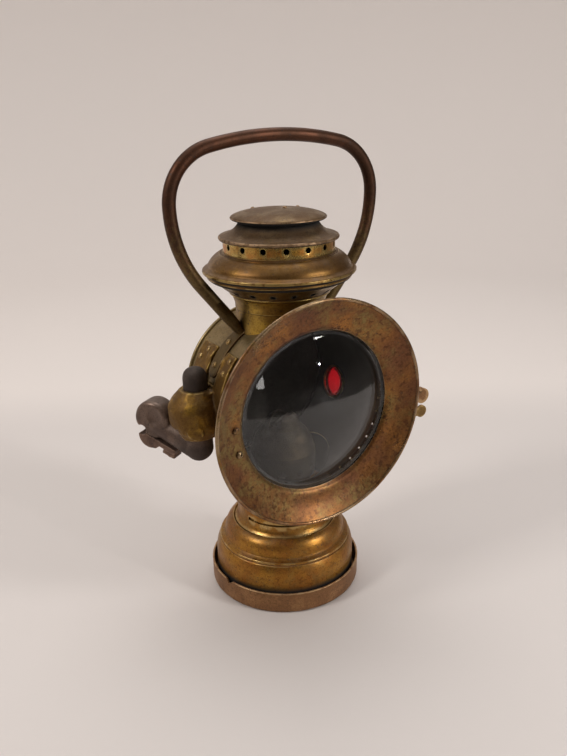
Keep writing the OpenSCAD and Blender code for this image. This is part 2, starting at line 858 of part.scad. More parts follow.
module handle_side() {
    bend([shoulder_x, shoulder_z], shoulder_bend, 0, 90 - crown_half);
    bend_weld([shoulder_x, shoulder_z], shoulder_bend, 90 - crown_half);
    bend([side_x, shoulder_z], side_bend, -side_sweep, 0);
    bend_weld([side_x, shoulder_z], side_bend, 0);
    bend_weld([side_x, shoulder_z], side_bend, -side_sweep);
    // Straight leg with its foot let into the strap, both shaped to the chimney neck
    difference() {
        union() {
            translate([leg_x, 0, leg_z])
                rotate([0, 180 + side_sweep, 0])
                    translate([0, 0, bend_gap])
                        rod(rod_r, leg_len - bend_gap - strap_t / 2);
            handle_strap();
        }
        translate([0, -handle_y, drum_z])
            rod(neck_r + bend_gap, 2 * drum_r);
    }
}

// Strap along the drum, from the leg's foot down to a round end
module handle_strap() {
    intersection() {
        translate([0, 0, drum_z])
            rotate([90, 0, 0])
                rotate([0, 0, strap_to - 9])
                    translate([0, 0, -strap_w])
                        rotate_extrude(angle = strap_from - strap_to + 9)
                            translate([drum_r, 0])
                                square([strap_t, 2 * strap_w]);
        on_drum(0, strap_to, drum_r / 2)
            linear_extrude(drum_r)
                union() {
                    circle(r = strap_w / 2);
                    translate([-drum_r, -strap_w / 2])
                        square([drum_r, strap_w]);
                }
    }
}

module handle() {
    color([0.42, 0.29, 0.2])
        translate([0, handle_y, 0])
            union() {
                bend([0, handle_top_z - crown_bend], crown_bend, 90 - crown_half, 90 + crown_half);
                handle_side();
                mirror([1, 0, 0])
                    handle_side();
            }
}

module handle_rivets() {
    color([0.5, 0.4, 0.25])
        for (m = [0, 1])
            mirror([m, 0, 0])
                for (a = strap_rivets)
                    on_drum(handle_y, a, drum_r + strap_t)
                        dome(rivet_r, 1);
}

module post_place() {
    translate([-post_x, post_y, 0])
        children();
}

// Height that clears the clamp's arm at radius r from the post
function relief_z(r) = elbow_z + elbow_r / cos(arm_tilt) + r * tan(arm_tilt) + seat_gap;

// Outline of the socket's barrel, as radius and height
barrel_line = concat([[0, socket_z], [barrel_r - 4.6, socket_z]],
    [[barrel_r - 1, socket_z + 5.4], [barrel_r - 0.1, socket_z + 9.4], [barrel_r, barrel_mid],
    [barrel_r - 0.6, barrel_mid + 3.4], [post_r + 2.9, socket_z + socket_h - 1], [post_r + 2.1, socket_z + socket_h],
    [0, socket_z + socket_h]]);

// Point of the socket's web, at the angle a up from the drum's left side and out from the drum's skin
function web_point(a, out) = [-(drum_r + out) * cos(a), drum_z + (drum_r + out) * sin(a)];

module lamp_socket() {
    color([0.7, 0.5, 0.22])
        difference() {
            union() {
                post_place()
                    rotate_extrude()
                        polygon(barrel_line);
                // Round pad low on the barrel's front
                post_place()
                    rotate([0, 0, -118])
                        translate([barrel_r - 4, 0, socket_z + 6.4])
                            rotate([0, 84, 0])
                                rod(4.6, 4.6);
                // Web from the barrel to the drum
                translate([0, post_y + 9, 0])
                    rotate([90, 0, 0])
                        linear_extrude(19)
                            polygon([[-post_x, socket_z + 0.4], [-post_x + elbow_r + 0.4, socket_z + 0.4],
                                [-post_x + elbow_r + 1.6, socket_z - 3], web_point(-27.4, -3.2),
                                web_point(40.5, -3.9), web_point(36.8, 2.2), web_point(32.7, 2.7),
                                [-post_x + post_r + 1.2, socket_z + socket_h], [-post_x, socket_z + socket_h - 2]]);
                socket_plate();
            }
            post_place()
                translate([0, 0, socket_z - 1])
                    rod(post_r + run_gap, socket_h + 40);
            along_drum()
                translate([0, 0, -deep / 2])
                    rod(drum_r, deep);
            // Underside raised where the clamp's arm swings
            post_place()
                rotate([0, 0, clamp_az - relief_half])
                    rotate_extrude(angle = 2 * relief_half)
                        polygon([[0, elbow_z], [relief_r, elbow_z], [relief_r, relief_z(relief_r)],
                            [0, relief_z(0)]]);
            // Room for the handle's strap
            translate([-60, handle_y - strap_slot, drum_z + drum_r * sin(strap_to) - strap_w / 2 - 2.4])
                cube([40, 2 * strap_slot, 60]);
        }
}

module socket_plate() {
    translate([0, plate_front, drum_z])
        rotate([-90, 0, 0])
            rotate([0, 0, 180 - plate_down * -1])
                rotate_extrude(angle = plate_up - plate_down)
                    translate([drum_r - 1, 0])
                        square([plate_t + 1, plate_back - plate_front]);
}

module socket_rivets() {
    color([0.5, 0.38, 0.2])
        mirror([1, 0, 0])
            for (p = ear_rivets)
                on_drum(p[0], p[1], drum_r + plate_t)
                    dome(rivet_r, 1);
}

module hinge_place() {
    translate([-hinge_x, -hinge_y, hinge_z])
        children();
}

module knuckle(z, h) {
    translate([0, 0, z])
        difference() {
            rod(knuckle_r, h);
            translate([0, 0, -1])
                rod(pin_r + run_gap, h + 2);
        }
}

module hinge_leaf_body() {
    color([0.6, 0.44, 0.24])
        drum_trim()
            union() {
                for (m = [0, 1])
                    hinge_place()
                        mirror([0, 0, m])
                            union() {
                                knuckle(knuckle_up, knuckle_end);
                                translate([-0.6, knuckle_r - 0.5, knuckle_up])
                                    cube([2.8, 3, knuckle_end]);
                            }
                hinge_place()
                    translate([-0.6, knuckle_r + 0.8, -knuckle_up - knuckle_end])
                        cube([hinge_x - drum_r + 8, 9, 2 * (knuckle_up + knuckle_end)]);
            }
}

module hinge_pin() {
    half = knuckle_up + knuckle_end;
    color([0.4, 0.36, 0.3])
        hinge_place()
            union() {
                translate([0, 0, -half])
                    rod(pin_r, 2 * half);
                translate([0, 0, half])
                    dome(pin_r + 0.7, 0.9);
                translate([0, 0, -half])
                    mirror([0, 0, 1])
                        dome(pin_r + 0.7, 0.9);
            }
}

module catch_lug() {
    // Lug under the latch lever's finger
    color([0.6, 0.44, 0.24])
        drum_trim()
            translate([drum_r - 4, -drum_front + 0.6, lug_top - 6.6])
                cube([9.6, 4.4, 6.6]);
}

// Surface of the flare at radius r, as distance ahead of the lamp's axis
function flare_y(r) = -opening_y - (r - opening_r) * flare_slope;

module door_flare() {
    edge = flare_r - rim_r;
    lean = atan(flare_slope);
    rim_c = [edge, flare_y(edge) + flare_skin / 2];
    // Half the skin, as the angle that it covers on the rolled rim
    neck = asin(sheet_t / 2 / rim_r);
    rim = arc(rim_c, rim_r, 180 - lean + neck, 540 - lean - neck, 14);
    color([0.5, 0.33, 0.2])
        along_drum()
            rotate_extrude()
                polygon(concat(rim, [[band_r, flare_y(band_r) + flare_skin], [band_r, band_rear],
                    [band_in, band_rear], [band_in, lens_front], [opening_r, lens_front],
                    [opening_r, -opening_y]]));
}

module lens() {
    ball = (opening_r * opening_r + lens_bulge * lens_bulge) / (2 * lens_bulge);
    color([0.75, 0.8, 0.8, 0.35])
        along_drum()
            union() {
                translate([0, 0, lens_front])
                    rod(lens_r, lens_edge);
                intersection() {
                    translate([0, 0, lens_front - lens_bulge + ball])
                        sphere(r = ball);
                    translate([0, 0, lens_front - lens_bulge - 1])
                        rod(opening_r - seat_gap, lens_bulge + 2);
                }
            }
}

module lens_ring() {
    // Spring ring that holds the lens in the band
    color([0.35, 0.3, 0.22])
        along_drum()
            translate([0, 0, lens_rear])
                ring(band_in, band_in - 2.2, min(1.1, band_rear - lens_rear));
}

// Everything ahead of the flare's back
module flare_front() {
    along_drum()
        rotate_extrude()
            polygon([[0, flare_y(0) + flare_skin], [80, flare_y(80) + flare_skin], [80, -80], [0, -80]]);
}

module hinge_leaf_door() {
    color([0.5, 0.34, 0.2])
        difference() {
            union() {
                hinge_place()
                    knuckle(-knuckle_len / 2, knuckle_len);
                hinge_place()
                    translate([-2, -6.6, -knuckle_len / 2])
                        cube([3.4, 6.6 - knuckle_r + 0.4, knuckle_len]);
                hinge_place()
                    translate([-3.6, -7.4, -knuckle_len / 2 - 4.5])
                        cube([5.6, 2.9, knuckle_len + 9]);
            }
            flare_front();
            along_drum()
                translate([0, 0, -deep / 2])
                    rod(band_r, deep);
        }
}

module door_rivets() {
    color([0.55, 0.38, 0.22])
        for (a = [178.2, -166])
            on_flare(door_rivet_r, a)
                dome(1.9, 1);
}

// Places a shape on the flare's face at radius r and angle a up from the right side
module on_flare(r, a) {
    along_drum()
        rotate([0, 0, -a])
            translate([r, 0, flare_y(r)])
                rotate([0, 180 + atan(flare_slope), 0])
                    children();
}

module slab(y, t) {
    // A flat piece drawn in X and Z, from y back by t
    translate([0, y + t, 0])
        rotate([90, 0, 0])
            linear_extrude(t)
                children();
}

module latch_plate() {
    boss = [[pivot_x - 2.8, latch_z - fixed_tab_drop], [pivot_x - 2.2, latch_z + 5]];
    inner = pivot_x - 4.8;
    color([0.5, 0.36, 0.22])
        difference() {
            union() {
                slab(plate_y, latch_t)
                    union() {
                        translate([fixed_tab_x, latch_z - fixed_tab_drop])
                            circle(r = fixed_tab_r);
                        translate([inner, latch_z - fixed_tab_drop - 2.4])
                            square([fixed_tab_x - inner, 4.8]);
                        translate([inner, latch_z - fixed_tab_drop - 2.4])
                            square([7.4, fixed_tab_drop + 9.4]);
                    }
                for (b = boss)
                    translate([b[0], plate_y + 0.1, b[1]])
                        rotate([90, 0, 0])
                            rod(1.8, 8);
            }
            flare_front();
            translate([pivot_x, plate_y + 9, latch_z])
                rotate([90, 0, 0])
                    rod(latch_pin_r, 18);
        }
}

module latch_lever() {
    // Swings on the latch pin: a finger tab outside, a finger over the lug inside
    finger_x = drum_r + 3;
    color([0.45, 0.32, 0.2])
        difference() {
            union() {
                slab(lever_y, latch_t)
                    union() {
                        translate([lever_tab_x, latch_z])
                            circle(r = lever_tab_r);
                        translate([finger_x, latch_z - 2.2])
                            square([lever_tab_x - finger_x, 4.4]);
                    }
                translate([lever_tab_x - 2.6, lever_y + 0.1, latch_z + 5.2])
                    rotate([90, 0, 0])
                        rod(1.3, 1.6);
                translate([finger_x, lever_y, lug_top + seat_gap])
                    cube([2.6, -drum_front + 3 - lever_y, 2.4]);
            }
            translate([pivot_x, lever_y + 10, latch_z])
                rotate([90, 0, 0])
                    rod(latch_pin_r + run_gap, 20);
        }
}

module latch_pin() {
    color([0.4, 0.32, 0.2])
        translate([pivot_x, lever_y + latch_t + 0.1, latch_z])
            union() {
                rotate([90, 0, 0])
                    rod(latch_pin_r, lever_y + latch_t + 0.1 - plate_y);
                rotate([-90, 0, 0])
                    dome(2, 1);
            }
}

// Clamp frame: x along the arm, z up from the arm, y across it, from the elbow's middle
module clamp_place() {
    post_place()
        translate([0, 0, elbow_z])
            rotate([0, 0, clamp_az])
                rotate([0, -arm_tilt, 0])
                    children();
}

// A flat forging drawn in the clamp's x and z, width w, its edges left square
module forged(w) {
    translate([0, w / 2, 0])
        rotate([90, 0, 0])
            linear_extrude(w)
                children();
}

// A round forging with rounded edges, across the clamp's x and z
module cheese(r, w, e) {
    rotate([90, 0, 0])
        translate([0, 0, -w / 2])
            rotate_extrude()
                union() {
                    square([r - e, w]);
                    translate([0, e])
                        square([r, w - 2 * e]);
                    for (z = [e, w - e])
                        translate([r - e, z])
                            circle(r = e, $fn = 32);
                }
}

module clamp_arm() {
    color([0.3, 0.26, 0.24])
        difference() {
            union() {
                post_place()
                    translate([0, 0, elbow_z])
                        rod(post_r, post_top - post_r - elbow_z);
                post_place()
                    translate([0, 0, post_top - post_r])
                        intersection() {
                            sphere(r = post_r, $fn = 48);
                            rod(post_r, post_r);
                        }
                post_place()
                    translate([0, 0, elbow_z])
                        rod(elbow_r - 0.1, socket_z - seat_gap - elbow_z);
                clamp_place()
                    sphere(r = elbow_r, $fn = 48);
                clamp_place()
                    rotate([0, 90, 0])
                        cylinder(r1 = elbow_r - 0.05, r2 = arm_end_r, h = claw_x);
                clamp_place()
                    translate([claw_x, 0, 2.6])
                        cheese(claw_r, jaw_w, 2.8);
            }
            // Land for the lower jaw
            clamp_place()
                translate([jaw_heel - 0.4, -deep / 2, seam_w - deep])
                    cube([deep, deep, deep]);
            // Seat for the dash rail and its mouth
            clamp_place()
                translate([seat_x, 0, seam_w + 0.4])
                    rotate([90, 0, 0])
                        translate([0, 0, -deep / 2])
                            rod(seat_r, deep);
            clamp_place()
                translate([seat_x, -deep / 2, seam_w - deep + 2.2])
                    cube([deep, deep, deep]);
            // Dished facet on the claw's near side
            clamp_place()
                translate([claw_x - 1, 16.6, 6.4])
                    sphere(r = 11.4, $fn = 48);
            clamp_place()
                translate([bolt_x, 0, bolt_foot])
                    rod(bolt_r, bolt_seat - bolt_foot);
        }
}

module clamp_jaw() {
    top = seam_w - jaw_gap;
    color([0.36, 0.27, 0.23])
        difference() {
            clamp_place()
                intersection() {
                    forged(jaw_w)
                        polygon(concat([[jaw_heel, top], [jaw_heel, top - heel_w + 0.6], [jaw_heel + 0.6, top - heel_w],
                            [bolt_x + nut_corner + 0.4, top - heel_w], [bolt_x + nut_corner + 2.2, top - heel_w - 2.6]],
                            arc([jaw_tip - 7.6, top], 7.6, -110, 0, 8)));
                    translate([claw_x - 4, 0, 0])
                        cheese(20, jaw_w, 2.2);
                }
            clamp_place()
                translate([seat_x, 0, seam_w + 0.4])
                    rotate([90, 0, 0])
                        translate([0, 0, -deep / 2])
                            rod(seat_r, deep);
            clamp_place()
                translate([bolt_x, 0, seam_w - 20])
                    rod(bolt_r + run_gap, 40);
        }
}

module clamp_bolt() {
    color([0.32, 0.27, 0.24])
        clamp_place()
            translate([bolt_x, 0, bolt_foot])
                rod(bolt_r, bolt_seat - bolt_foot);
}

module clamp_nut() {
    color([0.26, 0.2, 0.17])
        clamp_place()
            translate([bolt_x, 0, seam_w - jaw_gap - heel_w - 0.1 - nut_h])
                difference() {
                    intersection() {
                        translate([-nut_side / 2, -nut_side / 2, 0])
                            cube([nut_side, nut_side, nut_h]);
                        rod(nut_corner, nut_h);
                    }
                    translate([0, 0, -1])
                        rod(bolt_r + run_gap, nut_h + 2);
                }
}

base_cup();
font_tank();
font_neck();
burner_collar();
burner_base();
air_deck();
wick_tube();
burner_cone();
wick();
wick_spindle();
spur_wheels();
thumbwheel();
lamp_collar();
drum_shell();
drum_back();
reflector();
jewel_bezel();
side_jewel();
chimney_neck();
draught_funnel();
vent_bowl();
vent_shoulder();
inner_flue();
gallery();
lower_cap();
top_cap();
cap_studs();
handle();
handle_rivets();
lamp_socket();
socket_rivets();
hinge_leaf_body();
hinge_pin();
catch_lug();
door_flare();
lens();
lens_ring();
hinge_leaf_door();
door_rivets();
latch_plate();
latch_lever();
latch_pin();
clamp_arm();
clamp_jaw();
clamp_bolt();
clamp_nut();
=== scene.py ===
"""Looks of the kerosene buggy lamp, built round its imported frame."""
import logging
import math
from collections.abc import Callable, Iterator
from contextlib import contextmanager
from dataclasses import dataclass, field
from enum import Enum

import bmesh
import bpy
import numpy as np
from mathutils import Matrix, Vector, noise


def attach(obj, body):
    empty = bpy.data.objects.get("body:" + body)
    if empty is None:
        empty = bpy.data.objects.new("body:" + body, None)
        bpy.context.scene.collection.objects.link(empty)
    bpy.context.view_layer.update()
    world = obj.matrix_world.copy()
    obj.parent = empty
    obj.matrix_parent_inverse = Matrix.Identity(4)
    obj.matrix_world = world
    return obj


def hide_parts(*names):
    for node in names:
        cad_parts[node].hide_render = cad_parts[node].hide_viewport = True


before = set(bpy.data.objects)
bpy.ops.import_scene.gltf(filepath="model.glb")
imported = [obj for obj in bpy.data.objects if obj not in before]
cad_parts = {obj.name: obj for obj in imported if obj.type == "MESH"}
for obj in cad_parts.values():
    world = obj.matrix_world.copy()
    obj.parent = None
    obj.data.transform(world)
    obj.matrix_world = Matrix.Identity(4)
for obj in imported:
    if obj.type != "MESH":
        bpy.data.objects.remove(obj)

logging.basicConfig(level=logging.INFO, format="%(name)s: %(message)s")
log = logging.getLogger("lamp")

MM = 0.001
DRUM_Z = 123.7
DRUM_R = 46.0
Colour = tuple[float, float, float]
Outline = list[tuple[float, float]]
Rule = Callable[[Vector, Vector], float]


class Axis(Enum):
    """The line that a turned piece is turned about."""

    STACK = "upright, through the middle of the base"
    DRUM = "level, through the middle of the drum"

    def out(self, a: float) -> Vector:
        """Way out from the axis, at an angle in radians."""
        return Vector((math.cos(a), math.sin(a), 0)) if self is Axis.STACK else Vector((math.cos(a), 0, math.sin(a)))


# ---------------------------------------------------------------- shader graph helpers


class Graph:
    """A node tree with short ways to add nodes and feed their sockets."""

    def __init__(self, tree: bpy.types.NodeTree) -> None:
        """Takes the tree that the nodes go into.

        Args:
            tree: the material's or group's node tree.
        """
        self.tree = tree

    def feed(self, socket: bpy.types.NodeSocket, value: object) -> None:
        """Links a socket to the input, or sets the input to a plain value.

        Args:
            socket: the input to feed.
            value: an output socket, a number or a colour.
        """
        if isinstance(value, bpy.types.NodeSocket):
            self.tree.links.new(value, socket)
        elif isinstance(value, tuple) and len(value) == 3 and socket.type == "RGBA":
            socket.default_value = (*value, 1.0)
        else:
            socket.default_value = value

    def add(self, kind: str, inputs: dict | None = None, **settings: object) -> bpy.types.Node:
        """Adds a node.

        Args:
            kind: Blender's type name after "ShaderNode".
            inputs: values or sockets for its inputs, by name or number.
            settings: the node's own settings.

        Returns:
            The new node.
        """
        node = self.tree.nodes.new("ShaderNode" + kind)
        for key, value in settings.items():
            setattr(node, key, value)
        for key, value in (inputs or {}).items():
            self.feed(node.inputs[key], value)
        return node

    def calc(self, kind: str, a: object, b: object = 0.0, clamp: bool = False) -> bpy.types.NodeSocket:
        """Does one step of arithmetic.

        Args:
            kind: the Math node's operation.
            a: first value.
            b: second value.
            clamp: keep the result from 0 to 1.

        Returns:
            The result's socket.
        """
        return self.add("Math", {0: a, 1: b}, operation=kind, use_clamp=clamp).outputs[0]

    def times(self, a: object, b: object, clamp: bool = False) -> bpy.types.NodeSocket:
        """Multiplies two values."""
        return self.calc("MULTIPLY", a, b, clamp)

    def plus(self, a: object, b: object, clamp: bool = False) -> bpy.types.NodeSocket:
        """Adds two values."""
        return self.calc("ADD", a, b, clamp)

    def minus(self, a: object, b: object) -> bpy.types.NodeSocket:
        """Takes the second value from the first."""
        return self.calc("SUBTRACT", a, b)

    def blend(self, share: object, a: object, b: object, how: str = "MIX") -> bpy.types.NodeSocket:
        """Mixes two colours.

        Args:
            share: how much of b, from 0 to 1.
            a: first colour.
            b: second colour.
            how: the Mix node's blend type.

        Returns:
            The mixed colour's socket.
        """
        node = self.add("Mix", None, data_type="RGBA", blend_type=how)
        self.feed(node.inputs[0], share)
        self.feed(node.inputs[6], a)
        self.feed(node.inputs[7], b)
        return node.outputs[2]

    def ramp(self, value: object, low: object, high: object, out_low: float = 0.0,
             out_high: float = 1.0) -> bpy.types.NodeSocket:
        """Maps a range smoothly to another.

        Args:
            value: the value to map.
            low: value that gives out_low.
            high: value that gives out_high.
            out_low: lowest result.
            out_high: highest result.

        Returns:
            The mapped value's socket.
        """
        keys = {0: value, 1: low, 2: high, 3: out_low, 4: out_high}
        return self.add("MapRange", keys, interpolation_type="SMOOTHSTEP").outputs[0]

    def spots(self, place: object, scale: object, detail: float, seed: object = None,
              **more: float) -> bpy.types.NodeSocket:
        """Adds noise in soft spots.

        Args:
            place: where it is read.
            scale: its spots a metre.
            detail: how many finer layers it has.
            seed: shifts it, where it has one.
            more: its other inputs by name.

        Returns:
            The noise's socket.
        """
        keys = {"Vector": place, "Scale": scale, "Detail": detail, **more}
        if seed is None:
            return self.add("TexNoise", keys).outputs[0]
        return self.add("TexNoise", {**keys, "W": seed}, noise_dimensions="4D").outputs[0]

    def split(self, vector: object) -> list[bpy.types.NodeSocket]:
        """Parts a vector into x, y and z."""
        return list(self.add("SeparateXYZ", {0: vector}).outputs)

    def join(self, x: object, y: object, z: object) -> bpy.types.NodeSocket:
        """Makes a vector of x, y and z."""
        return self.add("CombineXYZ", {0: x, 1: y, 2: z}).outputs[0]

    def mark(self, name: str) -> bpy.types.NodeSocket:
        """Reads a mark that is kept in the mesh's points."""
        return self.add("Attribute", None, attribute_name=name).outputs["Fac"]

    def place(self) -> bpy.types.NodeSocket:
        """The place on the object, in metres."""
        return self.add("TexCoord").outputs["Object"]

    def use(self, group: bpy.types.NodeTree, **inputs: object) -> bpy.types.Node:
        """Places a shared group.

        Args:
            group: the group's tree.
            inputs: its inputs by name, with _ for a space.

        Returns:
            The group node.
        """
        node = self.tree.nodes.new("ShaderNodeGroup")
        node.node_tree = group
        for key, value in inputs.items():
            self.feed(node.inputs[key.replace("_", " ")], value)
        return node


RING_DRIFT = 0.0012  # metres that a spun ring wanders for each radian round


class Effects:
    """The shader groups that more than one finish uses, each made once."""

    def __init__(self) -> None:
        """Makes every group."""
        self.cloud = self._cloud()
        self.wear = self._wear()
        self.grime = self._grime()
        self.pits = self._pits()
        self.spin = self._spin()
        self.dust = self._dust()
        self.streaks = self._streaks()

    @staticmethod
    def _start(name: str, inputs: dict[str, float], outputs: list[str]) -> tuple[Graph, dict, bpy.types.Node]:
        """Opens a new group with a vector input.

        Args:
            name: the group's name.
            inputs: its number inputs and their defaults.
            outputs: its number outputs.

        Returns:
            The graph, its input sockets by name, and its output node.
        """
        tree = bpy.data.node_groups.new(name, "ShaderNodeTree")
        tree.interface.new_socket("Vector", in_out="INPUT", socket_type="NodeSocketVector")
        for key, value in inputs.items():
            tree.interface.new_socket(key, in_out="INPUT", socket_type="NodeSocketFloat").default_value = value
        for key in outputs:
            tree.interface.new_socket(key, in_out="OUTPUT", socket_type="NodeSocketFloat")
        way_in = tree.nodes.new("NodeGroupInput")
        way_out = tree.nodes.new("NodeGroupOutput")
        return Graph(tree), {s.name: s for s in way_in.outputs}, way_out

    def _cloud(self) -> bpy.types.NodeTree:
        """Soft blotches of tarnish, with a finer broken edge."""
        g, i, out = self._start("Tarnish Cloud", {"Scale": 60.0, "Cover": 0.5, "Softness": 0.12, "Seed": 0.0},
                                ["Mask", "Fine"])
        wide = g.spots(i["Vector"], i["Scale"], 7.0, i["Seed"], Roughness=0.62, Distortion=0.35)
        edge = g.minus(1.0, i["Cover"])
        g.feed(out.inputs["Mask"], g.ramp(wide, g.minus(edge, i["Softness"]), g.plus(edge, i["Softness"])))
        g.feed(out.inputs["Fine"], g.spots(i["Vector"], g.times(i["Scale"], 9.0), 4.0, i["Seed"], Roughness=0.6))
        return g.tree

    def _wear(self) -> bpy.types.NodeTree:
        """Bare metal on the raised edges, broken up."""
        g, i, out = self._start("Edge Wear", {"Amount": 0.8, "Break Scale": 260.0}, ["Mask"])
        edge = g.mark("edge")
        patch = g.spots(i["Vector"], i["Break Scale"], 5.0)
        broken = g.times(edge, g.ramp(patch, 0.34, 0.62, 0.25, 1.15))
        g.feed(out.inputs["Mask"], g.times(g.ramp(broken, 0.08, 0.7), i["Amount"], True))
        return g.tree

    def _grime(self) -> bpy.types.NodeTree:
        """Dark dirt that gathers in creases."""
        g, i, out = self._start("Crease Grime", {"Amount": 0.8}, ["Mask"])
        crease = g.mark("crease")
        patch = g.spots(i["Vector"], 190.0, 4.0)
        broken = g.times(crease, g.ramp(patch, 0.3, 0.7, 0.55, 1.2))
        g.feed(out.inputs["Mask"], g.times(g.ramp(broken, 0.05, 0.6), i["Amount"], True))
        return g.tree

    def _pits(self) -> bpy.types.NodeTree:
        """Small dark corrosion spots in loose flocks."""
        g, i, out = self._start("Pitting", {"Scale": 420.0, "Amount": 0.5}, ["Mask", "Height"])
        cells = g.add("TexVoronoi", {"Vector": i["Vector"], "Scale": i["Scale"], "Randomness": 1.0})
        spot = g.ramp(cells.outputs["Distance"], 0.3, 0.12)
        flock = g.spots(i["Vector"], 42.0, 3.0)
        chance = g.add("SeparateColor", {0: cells.outputs["Color"]}).outputs[0]
        some = g.ramp(g.plus(g.times(chance, 0.55), flock), 0.86, 0.98)
        mask = g.times(g.times(spot, some), i["Amount"], True)
        g.feed(out.inputs["Mask"], mask)
        g.feed(out.inputs["Height"], g.times(mask, -1.0))
        return g.tree

    def _spin(self) -> bpy.types.NodeTree:
        """Fine rings left by spinning and polishing, about the stack or the drum."""
        g, i, out = self._start("Spin Marks", {"Scale": 900.0, "About Drum": 0.0}, ["Height"])
        cut = g.split(i["Vector"])
        up = g.minus(cut[2], DRUM_Z * MM)
        side = g.add("Mix", {0: i["About Drum"], 2: cut[1], 3: up}, data_type="FLOAT").outputs[0]
        along = g.add("Mix", {0: i["About Drum"], 2: cut[2], 3: cut[1]}, data_type="FLOAT").outputs[0]
        span = g.calc("SQRT", g.plus(g.times(cut[0], cut[0]), g.times(side, side)))
        turn = g.times(g.calc("ARCTAN2", side, cut[0]), RING_DRIFT)
        place = g.join(span, along, turn)
        g.feed(out.inputs["Height"], g.spots(place, i["Scale"], 3.0, Roughness=0.7))
        return g.tree

    def _dust(self) -> bpy.types.NodeTree:
        """Pale dust on what faces up."""
        g, i, out = self._start("Settled Dust", {"Amount": 0.3}, ["Mask"])
        facing = g.split(g.add("NewGeometry").outputs["Normal"])[2]
        patch = g.spots(i["Vector"], 150.0, 6.0, Roughness=0.7)
        lie = g.times(g.ramp(facing, 0.35, 1.0), g.ramp(patch, 0.35, 0.75))
        g.feed(out.inputs["Mask"], g.times(lie, i["Amount"], True))
        return g.tree

    def _streaks(self) -> bpy.types.NodeTree:
        """Runs and wipes drawn out upright, as old lacquer wears."""
        g, i, out = self._start("Wiped Streaks", {"Scale": 70.0, "Stretch": 0.18}, ["Mask"])
        cut = g.split(i["Vector"])
        place = g.join(cut[0], cut[1], g.times(cut[2], i["Stretch"]))
        runs = g.spots(place, i["Scale"], 5.0, Roughness=0.55)
        g.feed(out.inputs["Mask"], g.ramp(runs, 0.38, 0.64))
        return g.tree


# ---------------------------------------------------------------- finishes

# near-black used for soot and for painted shade under caps, in gaps and round air holes
SOOT_AND_SHADE = (0.017, 0.0155, 0.014)
DUST = (0.42, 0.38, 0.33)
OLIVE = (0.2, 0.135, 0.045)
SMALL_SPOTS = 4.3
WEAR_SPOTS = 4
OLIVE_SPOTS = 1.7
SPECKS = 14
SPIN_LINES = 950.0  # lines a metre
LOW_EDGE = 0.012


